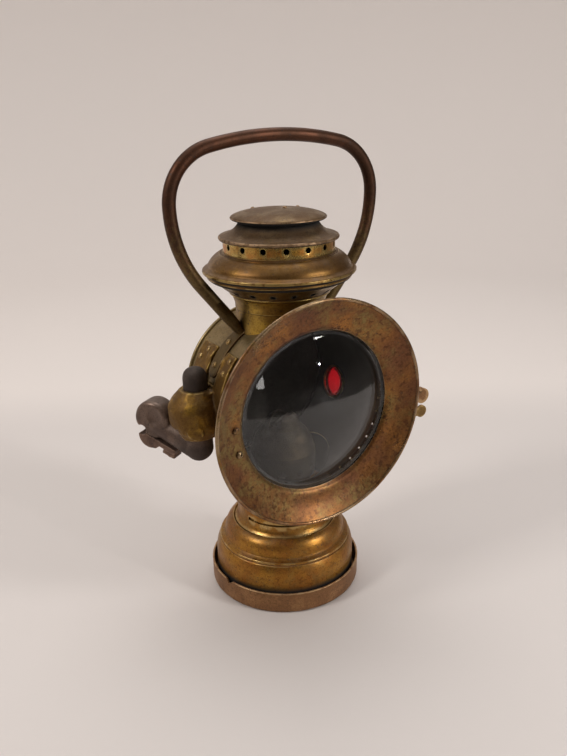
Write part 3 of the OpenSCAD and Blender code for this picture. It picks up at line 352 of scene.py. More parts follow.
@dataclass(frozen=True)
class MetalFinish:
    """Old sheet, cast or forged metal under its patina.

    Scales are in spots a metre. SMALL_SPOTS, WEAR_SPOTS, OLIVE_SPOTS and SPECKS say how many of their spots go across
    one wide blotch, and low_metal shows below low_z, with an edge that wanders by LOW_EDGE metres.
    """

    name: str
    slot: str
    metal: Colour
    patina: Colour
    dark: Colour
    bare: Colour
    cover: float = 0.5
    blotch: float = 70.0
    seed: float = 0.0
    rough: tuple[float, float] = (0.3, 0.5)
    metallic: float = 0.9
    wear: float = 0.7
    dirt: float = 0.8
    pits: float = 0.5
    pit_scale: float = 420.0
    spin: float = 0.2
    about_drum: float = 0.0
    grain: float = 0.3
    dust: float = 0.15
    streak: float = 0.0
    relief: float = 0.00006
    olive: float = 0.0
    mottle: float = 0.55
    low_metal: Colour = (0.0, 0.0, 0.0)
    low_z: tuple[float, float] = (0.0, 0.0)

    def build(self, fx: Effects) -> bpy.types.Material:
        """Makes the material.

        Args:
            fx: the shared groups.

        Returns:
            The new material.
        """
        mat, g, shader = new_material(self.name)
        place = g.place()
        cloud = g.use(fx.cloud, Vector=place, Scale=self.blotch, Cover=self.cover, Softness=0.13, Seed=self.seed)
        small = g.use(fx.cloud, Vector=place, Scale=self.blotch * SMALL_SPOTS, Cover=0.36, Softness=0.1,
                      Seed=self.seed + 3)
        wear = g.use(fx.wear, Vector=place, Amount=self.wear, Break_Scale=self.blotch * WEAR_SPOTS).outputs[0]
        grime = g.use(fx.grime, Vector=place, Amount=self.dirt).outputs[0]
        pits = g.use(fx.pits, Vector=place, Scale=self.pit_scale, Amount=self.pits)
        spin = g.use(fx.spin, Vector=place, Scale=SPIN_LINES, About_Drum=self.about_drum).outputs[0]
        dust = g.use(fx.dust, Vector=place, Amount=self.dust).outputs[0]
        colour = g.blend(cloud.outputs["Mask"], self.metal, self.patina)
        colour = g.blend(g.times(small.outputs["Mask"], self.mottle), colour, self.dark)
        if self.olive:
            moss = g.use(fx.cloud, Vector=place, Scale=self.blotch * OLIVE_SPOTS, Cover=0.47, Softness=0.07,
                         Seed=self.seed + 9)
            lace = g.ramp(moss.outputs["Fine"], 0.4, 0.6, 0.35, 1.0)
            share = g.times(g.times(moss.outputs["Mask"], lace), self.olive)
            colour = g.blend(share, colour, OLIVE)
        if self.low_z[1]:
            shift = g.ramp(cloud.outputs["Fine"], 0.35, 0.65, -LOW_EDGE, LOW_EDGE)
            low = g.ramp(g.plus(g.split(place)[2], shift), self.low_z[1] * MM, self.low_z[0] * MM)
            colour = g.blend(low, colour, self.low_metal)
        if self.streak:
            runs = g.use(fx.streaks, Vector=place, Scale=self.blotch, Stretch=0.16).outputs[0]
            colour = g.blend(g.times(runs, self.streak), colour, self.bare)
        speck = g.ramp(g.spots(place, self.blotch * SPECKS, 3.0), 0.55, 0.64)
        speck = g.times(speck, self.mottle * 0.8)
        colour = g.blend(speck, colour, tuple(c * 0.6 for c in self.patina))
        tone = g.ramp(small.outputs["Fine"], 0.3, 0.7, 0.76, 1.24)
        colour = g.blend(1.0, colour, g.join(tone, tone, tone), "MULTIPLY")
        colour = g.blend(wear, colour, self.bare)
        colour = g.blend(grime, colour, self.dark)
        colour = g.blend(pits.outputs["Mask"], colour, tuple(c * 0.4 for c in self.dark))
        # the soot mark carries real soot inside the lamp and painted shade under and between parts
        soot_and_shade = g.mark("soot_and_shade")
        colour = g.blend(dust, colour, DUST)
        colour = g.blend(soot_and_shade, colour, SOOT_AND_SHADE)
        rough = g.ramp(cloud.outputs["Mask"], 0.0, 1.0, *self.rough)
        rough = g.plus(rough, g.ramp(small.outputs["Fine"], 0.3, 0.7, -0.05, 0.07))
        rough = g.minus(rough, g.times(wear, 0.1))
        rough = g.plus(rough, g.times(g.plus(grime, dust), 0.25))
        rough = g.plus(rough, g.times(soot_and_shade, 0.5), True)
        dull = g.plus(g.plus(g.times(grime, 0.5), dust), pits.outputs["Mask"], True)
        dull = g.plus(dull, soot_and_shade, True)
        metallic = g.times(g.minus(1.0, g.times(dull, 0.85)), self.metallic)
        height = g.plus(g.times(spin, self.spin), g.times(pits.outputs["Height"], 1.2))
        height = g.plus(height, g.times(small.outputs["Fine"], self.grain))
        height = g.plus(height, g.times(cloud.outputs["Mask"], 0.12))
        bump = g.add("Bump", {"Strength": 1.0, "Distance": self.relief, "Height": height})
        g.feed(shader.inputs["Base Color"], colour)
        g.feed(shader.inputs["Roughness"], rough)
        g.feed(shader.inputs["Metallic"], metallic)
        g.feed(shader.inputs["Normal"], bump.outputs[0])
        return mat


@dataclass(frozen=True)
class GlassFinish:
    """Pressed glass with a little wave and some smears."""

    name: str
    slot: str
    tint: Colour
    smear: Colour
    rough: float = 0.0
    wave: float = 0.00008
    ior: float = 1.43

    def build(self, fx: Effects) -> bpy.types.Material:
        """Makes the material.

        Args:
            fx: the shared groups.

        Returns:
            The new material.
        """
        mat, g, shader = new_material(self.name)
        place = g.place()
        smear = g.use(fx.cloud, Vector=place, Scale=38.0, Cover=0.42, Softness=0.2, Seed=5.0)
        rough = g.ramp(smear.outputs["Mask"], 0.0, 1.0, self.rough, self.rough + 0.03)
        g.feed(shader.inputs["Roughness"], rough)
        g.feed(shader.inputs["Base Color"], g.blend(smear.outputs["Mask"], self.tint, self.smear))
        wave = g.spots(place, 26.0, 2.0)
        g.feed(shader.inputs["Normal"], g.add("Bump", {"Distance": self.wave, "Height": wave}).outputs[0])
        shader.inputs["Transmission Weight"].default_value = 1.0
        shader.inputs["IOR"].default_value = self.ior
        clear = g.add("BsdfTransparent", {"Color": self.tint})
        mix = g.add("MixShader", {0: g.add("LightPath").outputs["Is Shadow Ray"], 1: shader.outputs[0],
                                  2: clear.outputs[0]})
        g.feed(mat.node_tree.nodes["Material Output"].inputs["Surface"], mix.outputs[0])
        return mat


@dataclass(frozen=True)
class WickFinish:
    """Flat woven cotton, charred at its top."""

    name: str
    slot: str
    yarn: Colour
    char_z: float
    char_h: float = 5.0
    soiled: Colour = (0.45, 0.36, 0.24)
    charred: Colour = (0.015, 0.013, 0.012)
    gaps: Colour = (0.2, 0.16, 0.1)
    weft: float = 6200.0
    warp: float = 7400.0
    face: tuple[float, float] = (0.87, 0.5)

    def build(self, fx: Effects) -> bpy.types.Material:
        """Makes the material.

        Args:
            fx: the shared groups.

        Returns:
            The new material.
        """
        mat, g, shader = new_material(self.name)
        place = g.place()
        cut = g.split(place)
        across = g.plus(g.times(cut[0], self.face[0]), g.times(cut[1], self.face[1]))
        weave = g.times(g.calc("SINE", g.times(cut[2], self.weft)), g.calc("SINE", g.times(across, self.warp)))
        soil = g.use(fx.cloud, Vector=place, Scale=90.0, Cover=0.5, Softness=0.2, Seed=2.0).outputs["Mask"]
        colour = g.blend(g.times(soil, 0.5), self.yarn, self.soiled)
        char = g.ramp(cut[2], (self.char_z - self.char_h) * MM, self.char_z * MM)
        colour = g.blend(char, colour, self.charred)
        g.feed(shader.inputs["Base Color"], g.blend(g.ramp(weave, -1.0, 1.0, 0.0, 0.3), colour, self.gaps))
        g.feed(shader.inputs["Normal"], g.add("Bump", {"Distance": 0.0002, "Height": weave}).outputs[0])
        shader.inputs["Roughness"].default_value = 0.9
        return mat


def new_material(name: str) -> tuple[bpy.types.Material, Graph, bpy.types.Node]:
    """Opens a material with its Principled shader.

    Args:
        name: the material's name.

    Returns:
        The material, its graph and its shader.
    """
    mat = bpy.data.materials.new(name)
    mat.use_nodes = True
    return mat, Graph(mat.node_tree), mat.node_tree.nodes["Principled BSDF"]


COPPER = MetalFinish("brown_copper", "brown_copper", (0.36, 0.19, 0.082), (0.25, 0.125, 0.055),
                     (0.11, 0.06, 0.03), (0.56, 0.37, 0.19), cover=0.55, blotch=48, rough=(0.38, 0.52), seed=1,
                     metallic=0.75, grain=0.6)
DOOR_COPPER = MetalFinish("door_copper", "brown_copper", (0.27, 0.115, 0.028), (0.15, 0.062, 0.027),
                          (0.11, 0.07, 0.03), (0.4, 0.29, 0.17), cover=0.52, blotch=24, rough=(0.27, 0.39),
                          about_drum=1.0, pits=0.6, pit_scale=520.0, seed=4, metallic=0.82, grain=1.1, wear=0.7,
                          olive=1.0, mottle=0.85)
CAP_COPPER = MetalFinish("cap_copper", "brown_copper", (0.21, 0.135, 0.06), (0.145, 0.085, 0.042),
                         (0.06, 0.035, 0.022), (0.4, 0.26, 0.15), cover=0.55, blotch=75, rough=(0.38, 0.55),
                         dust=0.12, seed=8, wear=0.8, metallic=0.82, grain=1.2, pits=0.8, pit_scale=700.0,
                         mottle=0.8)
FONT_BRASS = MetalFinish("font_brass", "font_brass", (0.38, 0.185, 0.028), (0.28, 0.11, 0.021),
                         (0.14, 0.06, 0.016), (0.55, 0.38, 0.15), cover=0.5, blotch=48, rough=(0.33, 0.46), seed=2,
                         metallic=0.85, grain=0.8, olive=0.5, pits=0.7, mottle=0.8)
NECK_BRASS = MetalFinish("neck_brass", "font_brass", (0.4, 0.235, 0.024), (0.19, 0.1, 0.018),
                         (0.08, 0.042, 0.012), (0.55, 0.4, 0.13), cover=0.55, blotch=45, rough=(0.26, 0.44),
                         streak=0.25, seed=6, pits=0.9, grain=0.6)
VENT_BRASS = MetalFinish("vent_brass", "font_brass", (0.25, 0.137, 0.03), (0.165, 0.082, 0.024),
                         (0.09, 0.05, 0.018), (0.5, 0.35, 0.12), cover=0.55, blotch=60, rough=(0.26, 0.4), seed=9,
                         metallic=0.88, grain=0.9)
GALLERY_BRASS = MetalFinish("gallery_brass", "font_brass", (0.5, 0.3, 0.06), (0.5, 0.17, 0.035),
                            (0.12, 0.065, 0.018), (0.55, 0.42, 0.15), cover=0.5, blotch=36, rough=(0.28, 0.36),
                            streak=0.4, seed=12, dirt=0.7, grain=0.2)
OLD_BRASS = MetalFinish("old_brass", "old_brass", (0.32, 0.2, 0.065), (0.2, 0.115, 0.04),
                        (0.08, 0.045, 0.022), (0.48, 0.34, 0.14), cover=0.5, blotch=110, rough=(0.32, 0.48), seed=3)
DRUM_BRASS = MetalFinish("drum_brass", "drum_brass", (0.3, 0.22, 0.1), (0.22, 0.15, 0.065),
                         (0.11, 0.075, 0.035), (0.45, 0.34, 0.16), cover=0.5, blotch=50, rough=(0.38, 0.52),
                         about_drum=1.0, seed=5, streak=0.2, metallic=0.75)
# dark colours: painted shade for the shadow gap round the lens
BRASS_IN_PAINTED_SHADE = MetalFinish("dark_brass", "dark_brass", (0.15, 0.1, 0.042), (0.09, 0.056, 0.028),
                         (0.035, 0.023, 0.014), (0.28, 0.19, 0.08), cover=0.55, blotch=90, rough=(0.35, 0.55),
                         seed=7)
SOOTY_BRASS = MetalFinish("sooty_brass", "old_brass", (0.052, 0.036, 0.019), (0.026, 0.02, 0.013),
                          (0.013, 0.01, 0.008), (0.08, 0.055, 0.03), cover=0.6, blotch=90, rough=(0.5, 0.7),
                          seed=15)
CAST_BRASS = MetalFinish("cast_brass", "cast_brass", (0.33, 0.185, 0.026), (0.15, 0.08, 0.022),
                         (0.08, 0.042, 0.013), (0.5, 0.34, 0.1), cover=0.58, blotch=75, rough=(0.4, 0.54),
                         spin=0.0, grain=1.6, seed=10, pit_scale=520.0)
HANDLE_METAL = MetalFinish("handle_metal", "handle_metal", (0.095, 0.036, 0.017), (0.055, 0.024, 0.012),
                           (0.032, 0.016, 0.01), (0.15, 0.085, 0.04), cover=0.5, blotch=45, rough=(0.42, 0.54),
                           spin=0.0, grain=0.25, seed=11, metallic=0.78, dust=0.0, mottle=0.4,
                           low_metal=(0.13, 0.085, 0.03), low_z=(176.0, 236.0))
# colours near black: painted shade standing for the unlit inside of the lamp behind the lens
SILVERED_PAINTED_DARK = MetalFinish("silvered", "silvered", (0.024, 0.022, 0.02), (0.012, 0.011, 0.01), (0.007, 0.0065, 0.006),
                       (0.03, 0.028, 0.026), cover=0.6, blotch=14, rough=(0.3, 0.42), about_drum=1.0, seed=13,
                       metallic=1.0, pits=0.0, grain=0.02, spin=0.03, dust=0.0, dirt=0.2)
STEEL = MetalFinish("steel", "steel", (0.28, 0.25, 0.21), (0.15, 0.11, 0.08), (0.06, 0.045, 0.035),
                    (0.5, 0.46, 0.4), cover=0.5, blotch=160, rough=(0.35, 0.5), spin=0.0, seed=14)
IRON = MetalFinish("iron", "iron", (0.15, 0.1, 0.075), (0.1, 0.066, 0.051), (0.04, 0.026, 0.02),
                   (0.28, 0.19, 0.14), cover=0.5, blotch=85, rough=(0.38, 0.52), metallic=0.6, spin=0.0,
                   grain=0.8, pits=0.6, seed=16, wear=0.5)
RUSTY_IRON = MetalFinish("rusty_iron", "rusty_iron", (0.17, 0.1, 0.07), (0.1, 0.057, 0.041),
                         (0.035, 0.022, 0.017), (0.3, 0.19, 0.13), cover=0.5, blotch=120, rough=(0.42, 0.62),
                         metallic=0.5, spin=0.0, grain=1.2, pits=0.9, seed=17, wear=0.5)
CLEAR_GLASS = GlassFinish("clear_glass", "clear_glass", (0.94, 0.94, 0.92), (0.86, 0.85, 0.83))
RED_GLASS = GlassFinish("red_glass", "red_glass", (0.55, 0.004, 0.014), (0.34, 0.003, 0.008), rough=0.05)
WICK_COTTON = WickFinish("wick_cotton", "wick_cotton", (0.75, 0.7, 0.58), char_z=104.0)
Finish = MetalFinish | GlassFinish | WickFinish


class Workshop:
    """Keeps the effects and every finish that is made, and puts finishes on pieces."""

    def __init__(self) -> None:
        """Makes the shared effects."""
        self.effects = Effects()
        self.made: dict[str, bpy.types.Material] = {}

    def paint(self, piece: bpy.types.Object, finish: Finish) -> None:
        """Gives a piece one finish.

        Args:
            piece: a new piece or a CAD node's object.
            finish: its finish.
        """
        if finish.name not in self.made:
            self.made[finish.name] = finish.build(self.effects)
        if not piece.data.materials:
            piece.data.materials.append(None)
        for slot in piece.material_slots:
            slot.link = "OBJECT"
            slot.material = self.made[finish.name]

    def fit(self, piece: bpy.types.Object, body: str, finish: Finish, *nodes: str, soot_and_shade: Rule | None = None) -> None:
        """Paints a new piece, lets it ride on a body and stand for its CAD nodes.

        Args:
            piece: the finished piece.
            body: the CAD body that it moves with.
            finish: its finish.
            nodes: the CAD nodes that it stands for.
            soot_and_shade: where it is blackened.
        """
        if soot_and_shade:
            mark_soot_and_shade(piece, soot_and_shade)
        self.paint(piece, finish)
        for slot in piece.material_slots:
            material = slot.material
            slot.link = "DATA"
            slot.material = material
        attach(piece, body)
        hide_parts(*nodes)
        log.info("%s: %d faces, %s", piece.name, len(piece.data.polygons), finish.name)

    def ease(self, node: str, bevel: float, body: str, finish: Finish, soot_and_shade: Rule | None = None) -> None:
        """Fits a copy of a CAD node with its edges eased.

        Args:
            node: the CAD node.
            bevel: width of the eased edges, in mm.
            body: the CAD body that it moves with.
            finish: its finish.
            soot_and_shade: where it is blackened.
        """
        self.fit(refined(node, bevel), body, finish, node, soot_and_shade=soot_and_shade)

    def spin(self, node: str, outlines: list[Outline], body: str, finish: Finish, soot_and_shade: Rule | None = None,
             **how: object) -> None:
        """Fits a piece spun from sheet in place of a CAD node.

        Args:
            node: the CAD node.
            outlines: its outlines, in mm.
            body: the CAD body that it moves with.
            finish: its finish.
            soot_and_shade: where it is blackened.
            how: what else turned takes.
        """
        self.fit(turned(node + "_spun", outlines, **how), body, finish, node, soot_and_shade=soot_and_shade)

    def dress(self, node: str, finish: Finish) -> None:
        """Gives a CAD node that stays its finish.

        Args:
            node: the node's name.
            finish: its finish.
        """
        self.paint(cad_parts[node], finish)
        log.info("%s keeps its CAD shape, %s", node, finish.name)


# ---------------------------------------------------------------- mesh helpers


def arc(centre: tuple[float, float], radius: float, start: float, end: float, steps: int) -> Outline:
    """Points of an arc.

    Args:
        centre: its middle.
        radius: its radius.
        start: first angle, in degrees.
        end: last angle, in degrees.
        steps: number of steps.

    Returns:
        The points in order.
    """
    angles = [math.radians(start + (end - start) * k / steps) for k in range(steps + 1)]
    return [(centre[0] + radius * math.cos(a), centre[1] + radius * math.sin(a)) for a in angles]


def offset(line: Outline, t: float) -> Outline:
    """A line moved to its left.

    Args:
        line: the line's points.
        t: how far it is moved.

    Returns:
        The moved points.
    """
    p = [Vector(q) for q in line]
    moved = []
    for k, q in enumerate(p):
        before = (q - p[k - 1]).normalized() if k else (p[1] - q).normalized()
        after = (p[k + 1] - q).normalized() if k < len(p) - 1 else before
        side = Vector((-(before + after)[1], (before + after)[0])).normalized()
        square = Vector((-before[1], before[0]))
        moved.append(tuple(q + side * (t / max(side.dot(square), 0.4))))
    return moved


def sheet(line: Outline, t: float) -> Outline:
    """Closed outline of a sheet on the left of a line."""
    return line + offset(line, t)[::-1]


LEAST_BEND = 9  # degrees
WIDE_BEND = 25  # degrees
CUT_SHARE = 0.42


def rounded(line: Outline, cut: float, step: float, closed: bool = True) -> Outline:
    """Rounds the corners of an outline and divides its long runs.

    A corner that bends less than LEAST_BEND degrees is left, one under WIDE_BEND gets fewer points, and no rounding
    takes more than CUT_SHARE of a run.

    Args:
        line: the outline's points, in mm.
        cut: how far from a corner its rounding starts.
        step: longest run that is left undivided.
        closed: whether the last point joins the first.

    Returns:
        The finer outline.
    """
    p = [Vector(q) for q in line]
    n = len(p)
    soft = []
    for k, q in enumerate(p):
        if not closed and k in (0, n - 1):
            soft.append(q)
            continue
        a, b = p[k - 1] - q, p[(k + 1) % n] - q
        bend = math.degrees(a.angle(-b, 0.0)) if a.length > 1e-9 and b.length > 1e-9 else 0.0
        if bend < LEAST_BEND or q[0] < 1e-6:
            soft.append(q)
            continue
        la, lb = min(cut, CUT_SHARE * a.length), min(cut, CUT_SHARE * b.length)
        first, last = q + a.normalized() * la, q + b.normalized() * lb
        steps = 2 if bend < WIDE_BEND else 4
        for j in range(steps + 1):
            t = j / steps
            soft.append(first * (1 - t) ** 2 + q * 2 * t * (1 - t) + last * t * t)
    out = []
    for k, q in enumerate(soft):
        out.append(tuple(q))
        if closed or k < len(soft) - 1:
            nxt = soft[(k + 1) % len(soft)]
            parts = int((nxt - q).length / step)
            out += [tuple(q.lerp(nxt, j / (parts + 1))) for j in range(1, parts + 1)]
    return out


def smoothed(line: Outline, per: int) -> Outline:
    """A smooth curve through given points.

    Args:
        line: the points.
        per: points made for each run.

    Returns:
        The curve's points.
    """
    p = [Vector(q) for q in line]
    p = [p[0] * 2 - p[1], *p, p[-1] * 2 - p[-2]]
    out = []
    for k in range(1, len(p) - 2):
        for j in range(per):
            t = j / per
            a, b, c, d = p[k - 1 : k + 3]
            out.append(tuple(0.5 * (b * 2 + (c - a) * t + (a * 2 - b * 5 + c * 4 - d) * t * t
                                    + (b * 3 - a - c * 3 + d) * t ** 3)))
    return out + [tuple(p[-2])]


def new_piece(name: str, mesh: bpy.types.Mesh) -> bpy.types.Object:
    """Puts a mesh in the scene as a piece."""
    piece = bpy.data.objects.new(name, mesh)
    bpy.context.scene.collection.objects.link(piece)
    return piece


def from_bmesh(name: str, bm: bmesh.types.BMesh) -> bpy.types.Object:
    """Closes a bmesh into a smooth piece with its wear marked.

    Args:
        name: the piece's name.
        bm: its mesh, in metres.

    Returns:
        The piece.
    """
    mesh = bpy.data.meshes.new(name)
    bm.to_mesh(mesh)
    bm.free()
    mesh.polygons.foreach_set("use_smooth", [True] * len(mesh.polygons))
    piece = new_piece(name, mesh)
    mark_wear(piece)
    return piece


EDGE_GAIN = 1.6  # how soon a bend counts as a full edge or crease


def mark_wear(piece: bpy.types.Object, size: float = 1.1, passes: int = 3) -> None:
    """Writes how raised or sunk each point is, for edge wear and grime.

    Args:
        piece: the piece.
        size: bend radius in mm that counts as a full edge.
        passes: how far the marks spread.
    """
    mesh = piece.data
    n, m = len(mesh.vertices), len(mesh.edges)
    co, nor, ends = np.zeros(n * 3), np.zeros(n * 3), np.zeros(m * 2, int)
    mesh.vertices.foreach_get("co", co)
    mesh.vertex_normals.foreach_get("vector", nor)
    mesh.edges.foreach_get("vertices", ends)
    co, nor, (a, b) = co.reshape(-1, 3), nor.reshape(-1, 3), ends.reshape(-1, 2).T
    run = co[b] - co[a]
    square = np.maximum((run * run).sum(1), 1e-10)
    total, count = np.zeros(n), np.zeros(n)
    np.add.at(total, a, -(nor[a] * run).sum(1) / square)
    np.add.at(total, b, (nor[b] * run).sum(1) / square)
    np.add.at(count, a, 1)
    np.add.at(count, b, 1)
    count = np.maximum(count, 1)
    bend = np.clip(total / count * size * MM, -2, 2)
    for _ in range(passes):
        near = np.zeros(n)
        np.add.at(near, a, bend[b])
        np.add.at(near, b, bend[a])
        bend = 0.5 * bend + 0.5 * near / count
    for name, gain in (("edge", EDGE_GAIN), ("crease", -EDGE_GAIN)):
        mark = mesh.attributes.get(name) or mesh.attributes.new(name, "FLOAT", "POINT")
        mark.data.foreach_set("value", np.clip(bend * gain, 0, 1).astype(np.float32))


def mark_soot_and_shade(piece: bpy.types.Object, share: Rule) -> None:
    """Blackens a piece where a rule says so, for soot and old dirt, and for painted shade under and between parts.

    Args:
        piece: the piece.
        share: gives 0 to 1 for a point in mm and its way out.
    """
    mesh = piece.data
    values = [min(max(share(v.co / MM, n.vector), 0.0), 1.0) for v, n in zip(mesh.vertices, mesh.vertex_normals)]
    mesh.attributes.new("soot_and_shade", "FLOAT", "POINT").data.foreach_set("value", values)


def inside_stack(reach: float, low: float = -1.0) -> Rule:
    """Rule for skins that face the upright axis.

    Args:
        reach: radius in mm inside which it applies.
        low: height in mm above which it applies.

    Returns:
        The rule.
    """
    return lambda p, n: float(math.hypot(p.x, p.y) < reach and p.z > low and p.x * n.x + p.y * n.y < 0)


def inside_drum(reach: float) -> Rule:
    """Rule for skins that face the drum's axis, inside a radius in mm."""
    return lambda p, n: float(math.hypot(p.x, p.z - DRUM_Z) < reach and p.x * n.x + (p.z - DRUM_Z) * n.z < 0)


def bridge(bm: bmesh.types.BMesh, rings: list[list[bmesh.types.BMVert]], closed: bool = False) -> None:
    """Joins rings of points by faces. A ring of one point is a tip.

    Args:
        bm: the mesh to add to.
        rings: the rings in order, all of as many points but for the tips.
        closed: whether the last ring joins the first.
    """
    for a, b in zip(rings, rings[1:] + (rings[:1] if closed else [])):
        count = max(len(a), len(b))
        if count == 1:
            continue
        for j in range(count):
            i = (j + 1) % count
            bm.faces.new(list(dict.fromkeys((a[j % len(a)], a[i % len(a)], b[i % len(b)], b[j % len(b)]))))


WIDE_DENTS = 0.045  # dents a mm
FINE_DENTS = 0.16  # dents a mm
FULL_DENT_R = 8  # radius in mm from which dents have their full depth


def turn_into(bm: bmesh.types.BMesh, outline: Outline, axis: Axis, segments: int, dent: float,
              closed: bool, seed: float) -> None:
    """Adds a turned shape to a bmesh.

    Args:
        bm: the mesh to add to.
        outline: radius and place along the axis, in mm.
        axis: what it is turned about.
        segments: number of steps round.
        dent: depth of its soft dents, in mm.
        closed: whether the outline closes on itself.
        seed: shifts the dents.
    """
    stack = axis is Axis.STACK
    up = Vector((0, 0, 1)) if stack else Vector((0, 1, 0))
    base = Vector((0, 0, 0)) if stack else Vector((0, 0, DRUM_Z))
    rings = []
    for r, h in outline:
        ring = []
        for k in range(segments):
            out = axis.out(2 * math.pi * k / segments)
            p = base + out * r + up * h
            if dent:
                spot = p * WIDE_DENTS + Vector((seed * 7.3, seed * 3.1, seed))
                fine = p * FINE_DENTS + Vector((seed, seed * 5.7, 2.0))
                push = noise.noise(spot) + 0.35 * noise.noise(fine)
                lift = noise.noise(spot + Vector((9.0, 4.0, 1.0)))
                p += out * (dent * push * min(r / FULL_DENT_R, 1)) + up * (0.6 * dent * lift)
            ring.append(bm.verts.new(p * MM))
            if r < 1e-6:
                break
        rings.append(ring)
    bridge(bm, rings, closed)


def turned(name: str, outlines: list[Outline], axis: Axis = Axis.STACK, segments: int = 160,
           dent: float = 0.0, closed: bool = True, seed: float = 1.0) -> bpy.types.Object:
    """A spun or turned piece.

    Args:
        name: its name.
        outlines: one or more outlines, in mm.
        axis: what it is turned about.
        segments: number of steps round.
        dent: depth of its soft dents, in mm.
        closed: whether the outlines close on themselves.
        seed: shifts the dents.

    Returns:
        The piece.
    """
    bm = bmesh.new()
    for outline in outlines:
        turn_into(bm, outline, axis, segments, dent, closed, seed)
    bmesh.ops.recalc_face_normals(bm, faces=bm.faces)
    return from_bmesh(name, bm)


def swept_into(bm: bmesh.types.BMesh, path: list[Vector], halves: list[tuple[float, float]],
               square: float, sides: int) -> None:
    """Adds a bar along a path that lies square to the drum's axis.

    Args:
        bm: the mesh to add to.
        path: the middle line's points, in mm.
        halves: half width along the drum's axis and half thickness in the path's plane, for each point.
        square: 2 gives a round section, more a squarer one.
        sides: points round the section.
    """
    across = Vector((0, 1, 0))
    rings = []
    for k, p in enumerate(path):
        run = (path[min(k + 1, len(path) - 1)] - path[max(k - 1, 0)]).normalized()
        out = run.cross(across)
        ring = []
        for j in range(sides):
            a = 2 * math.pi * j / sides
            c, s = math.cos(a), math.sin(a)
            u = math.copysign(abs(c) ** (2 / square), c) * halves[k][0]
            v = math.copysign(abs(s) ** (2 / square), s) * halves[k][1]
            ring.append(bm.verts.new((p + across * u + out * v) * MM))
        rings.append(ring)
    bridge(bm, rings)
    bm.faces.new(rings[0])
    bm.faces.new(rings[-1])


@contextmanager
def opened(piece: bpy.types.Object) -> Iterator[bmesh.types.BMesh]:
    """Opens a piece's mesh for editing, and writes it back at the end.

    Args:
        piece: the piece.

    Yields:
        The open mesh.
    """
    bm = bmesh.new()
    bm.from_mesh(piece.data)
    yield bm
    bm.to_mesh(piece.data)
    bm.free()


def from_node(node: str) -> bmesh.types.BMesh:
    """Copies a CAD node's mesh and joins its doubled points.

    Args:
        node: the CAD node.

    Returns:
        The copy, in metres.
    """
    bm = bmesh.new()
    bm.from_mesh(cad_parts[node].data)
    bmesh.ops.remove_doubles(bm, verts=bm.verts, dist=2e-6)
    return bm


def applied(piece: bpy.types.Object) -> None:
    """Applies all of a piece's modifiers."""
    graph = bpy.context.evaluated_depsgraph_get()
    graph.update()
    mesh = bpy.data.meshes.new_from_object(piece.evaluated_get(graph))
    piece.modifiers.clear()
    piece.data = mesh


FLAT_BEND = 0.6  # degrees under which two faces of a CAD node are one
EASED_BEND = 28  # degrees over which an edge is eased
HELD_BEND = 32  # degrees over which an edge stays sharp after that
LONGEST = 2.4  # longest edge that is left, in mm


def refined(node: str, bevel: float) -> bpy.types.Object:
    """A copy of a CAD node with its edges eased.

    Args:
        node: the CAD node.
        bevel: width of the eased edges, in mm.

    Returns:
        The piece.
    """
    bm = from_node(node)
    bmesh.ops.dissolve_limit(bm, angle_limit=math.radians(FLAT_BEND), verts=bm.verts, edges=bm.edges)
    piece = from_bmesh(node + "_eased", bm)
    ease = piece.modifiers.new("eased edges", "BEVEL")
    ease.width, ease.segments, ease.limit_method = bevel * MM, 3, "ANGLE"
    ease.angle_limit, ease.use_clamp_overlap = math.radians(EASED_BEND), True
    applied(piece)
    divide_long(piece, LONGEST)
    hold_corners(piece, HELD_BEND)
    mark_wear(piece, passes=1)
    return piece


def divide_long(piece: bpy.types.Object, longest: float) -> None:
    """Divides a piece's long faces, so that marks of wear stay near its edges.

    Args:
        piece: the piece.
        longest: longest edge that is left, in mm.
    """
    with opened(piece) as bm:
        for _ in range(6):
            bmesh.ops.triangulate(bm, faces=bm.faces)
            long = [e for e in bm.edges if e.calc_length() > longest * MM]
            if not long:
                break
            bmesh.ops.subdivide_edges(bm, edges=long, cuts=1)
        bmesh.ops.triangulate(bm, faces=bm.faces)


def hold_corners(piece: bpy.types.Object, degrees: float) -> None:
    """Smooths a piece's shading except over its sharp corners.

    Args:
        piece: the piece.
        degrees: bend over which a corner stays sharp.
    """
    with opened(piece) as bm:
        for edge in bm.edges:
            edge.smooth = len(edge.link_faces) == 2 and edge.calc_face_angle(0.0) < math.radians(degrees)
        for face in bm.faces:
            face.smooth = True
    weigh = piece.modifiers.new("even shading", "WEIGHTED_NORMAL")
    weigh.keep_sharp = True
    applied(piece)


def forged(node: str, voxel: float, passes: int, name: str = "") -> bpy.types.Object:
    """A copy of a CAD node with the soft edges and fillets of a forging or casting.

    Args:
        node: the CAD node.
        voxel: size of the remesh, in mm.
        passes: how much it is softened.
        name: the new piece's name, or nothing for one made from the node's.

    Returns:
        The piece.
    """
    piece = from_bmesh(name or node + "_forged", from_node(node))
    grid = piece.modifiers.new("even skin", "REMESH")
    grid.mode, grid.voxel_size, grid.use_smooth_shade = "VOXEL", voxel * MM, True
    soft = piece.modifiers.new("soft edges", "SMOOTH")
    soft.factor, soft.iterations = 0.5, passes
    applied(piece)
    return piece


def swell(piece: bpy.types.Object, depth: float, scale: float, seed: float) -> None:
    """Makes a rigid skin slightly uneven, as hammered or cast.

    Args:
        piece: the piece.
        depth: height of the unevenness, in mm.
        scale: its spots per mm.
        seed: shifts it.
    """
    mesh = piece.data
    moves = [v.co + n.vector * (depth * MM * noise.noise(v.co / MM * scale + Vector((seed, seed, seed))))
             for v, n in zip(mesh.vertices, mesh.vertex_normals)]
    mesh.vertices.foreach_set("co", [c for p in moves for c in p])
    mesh.update()


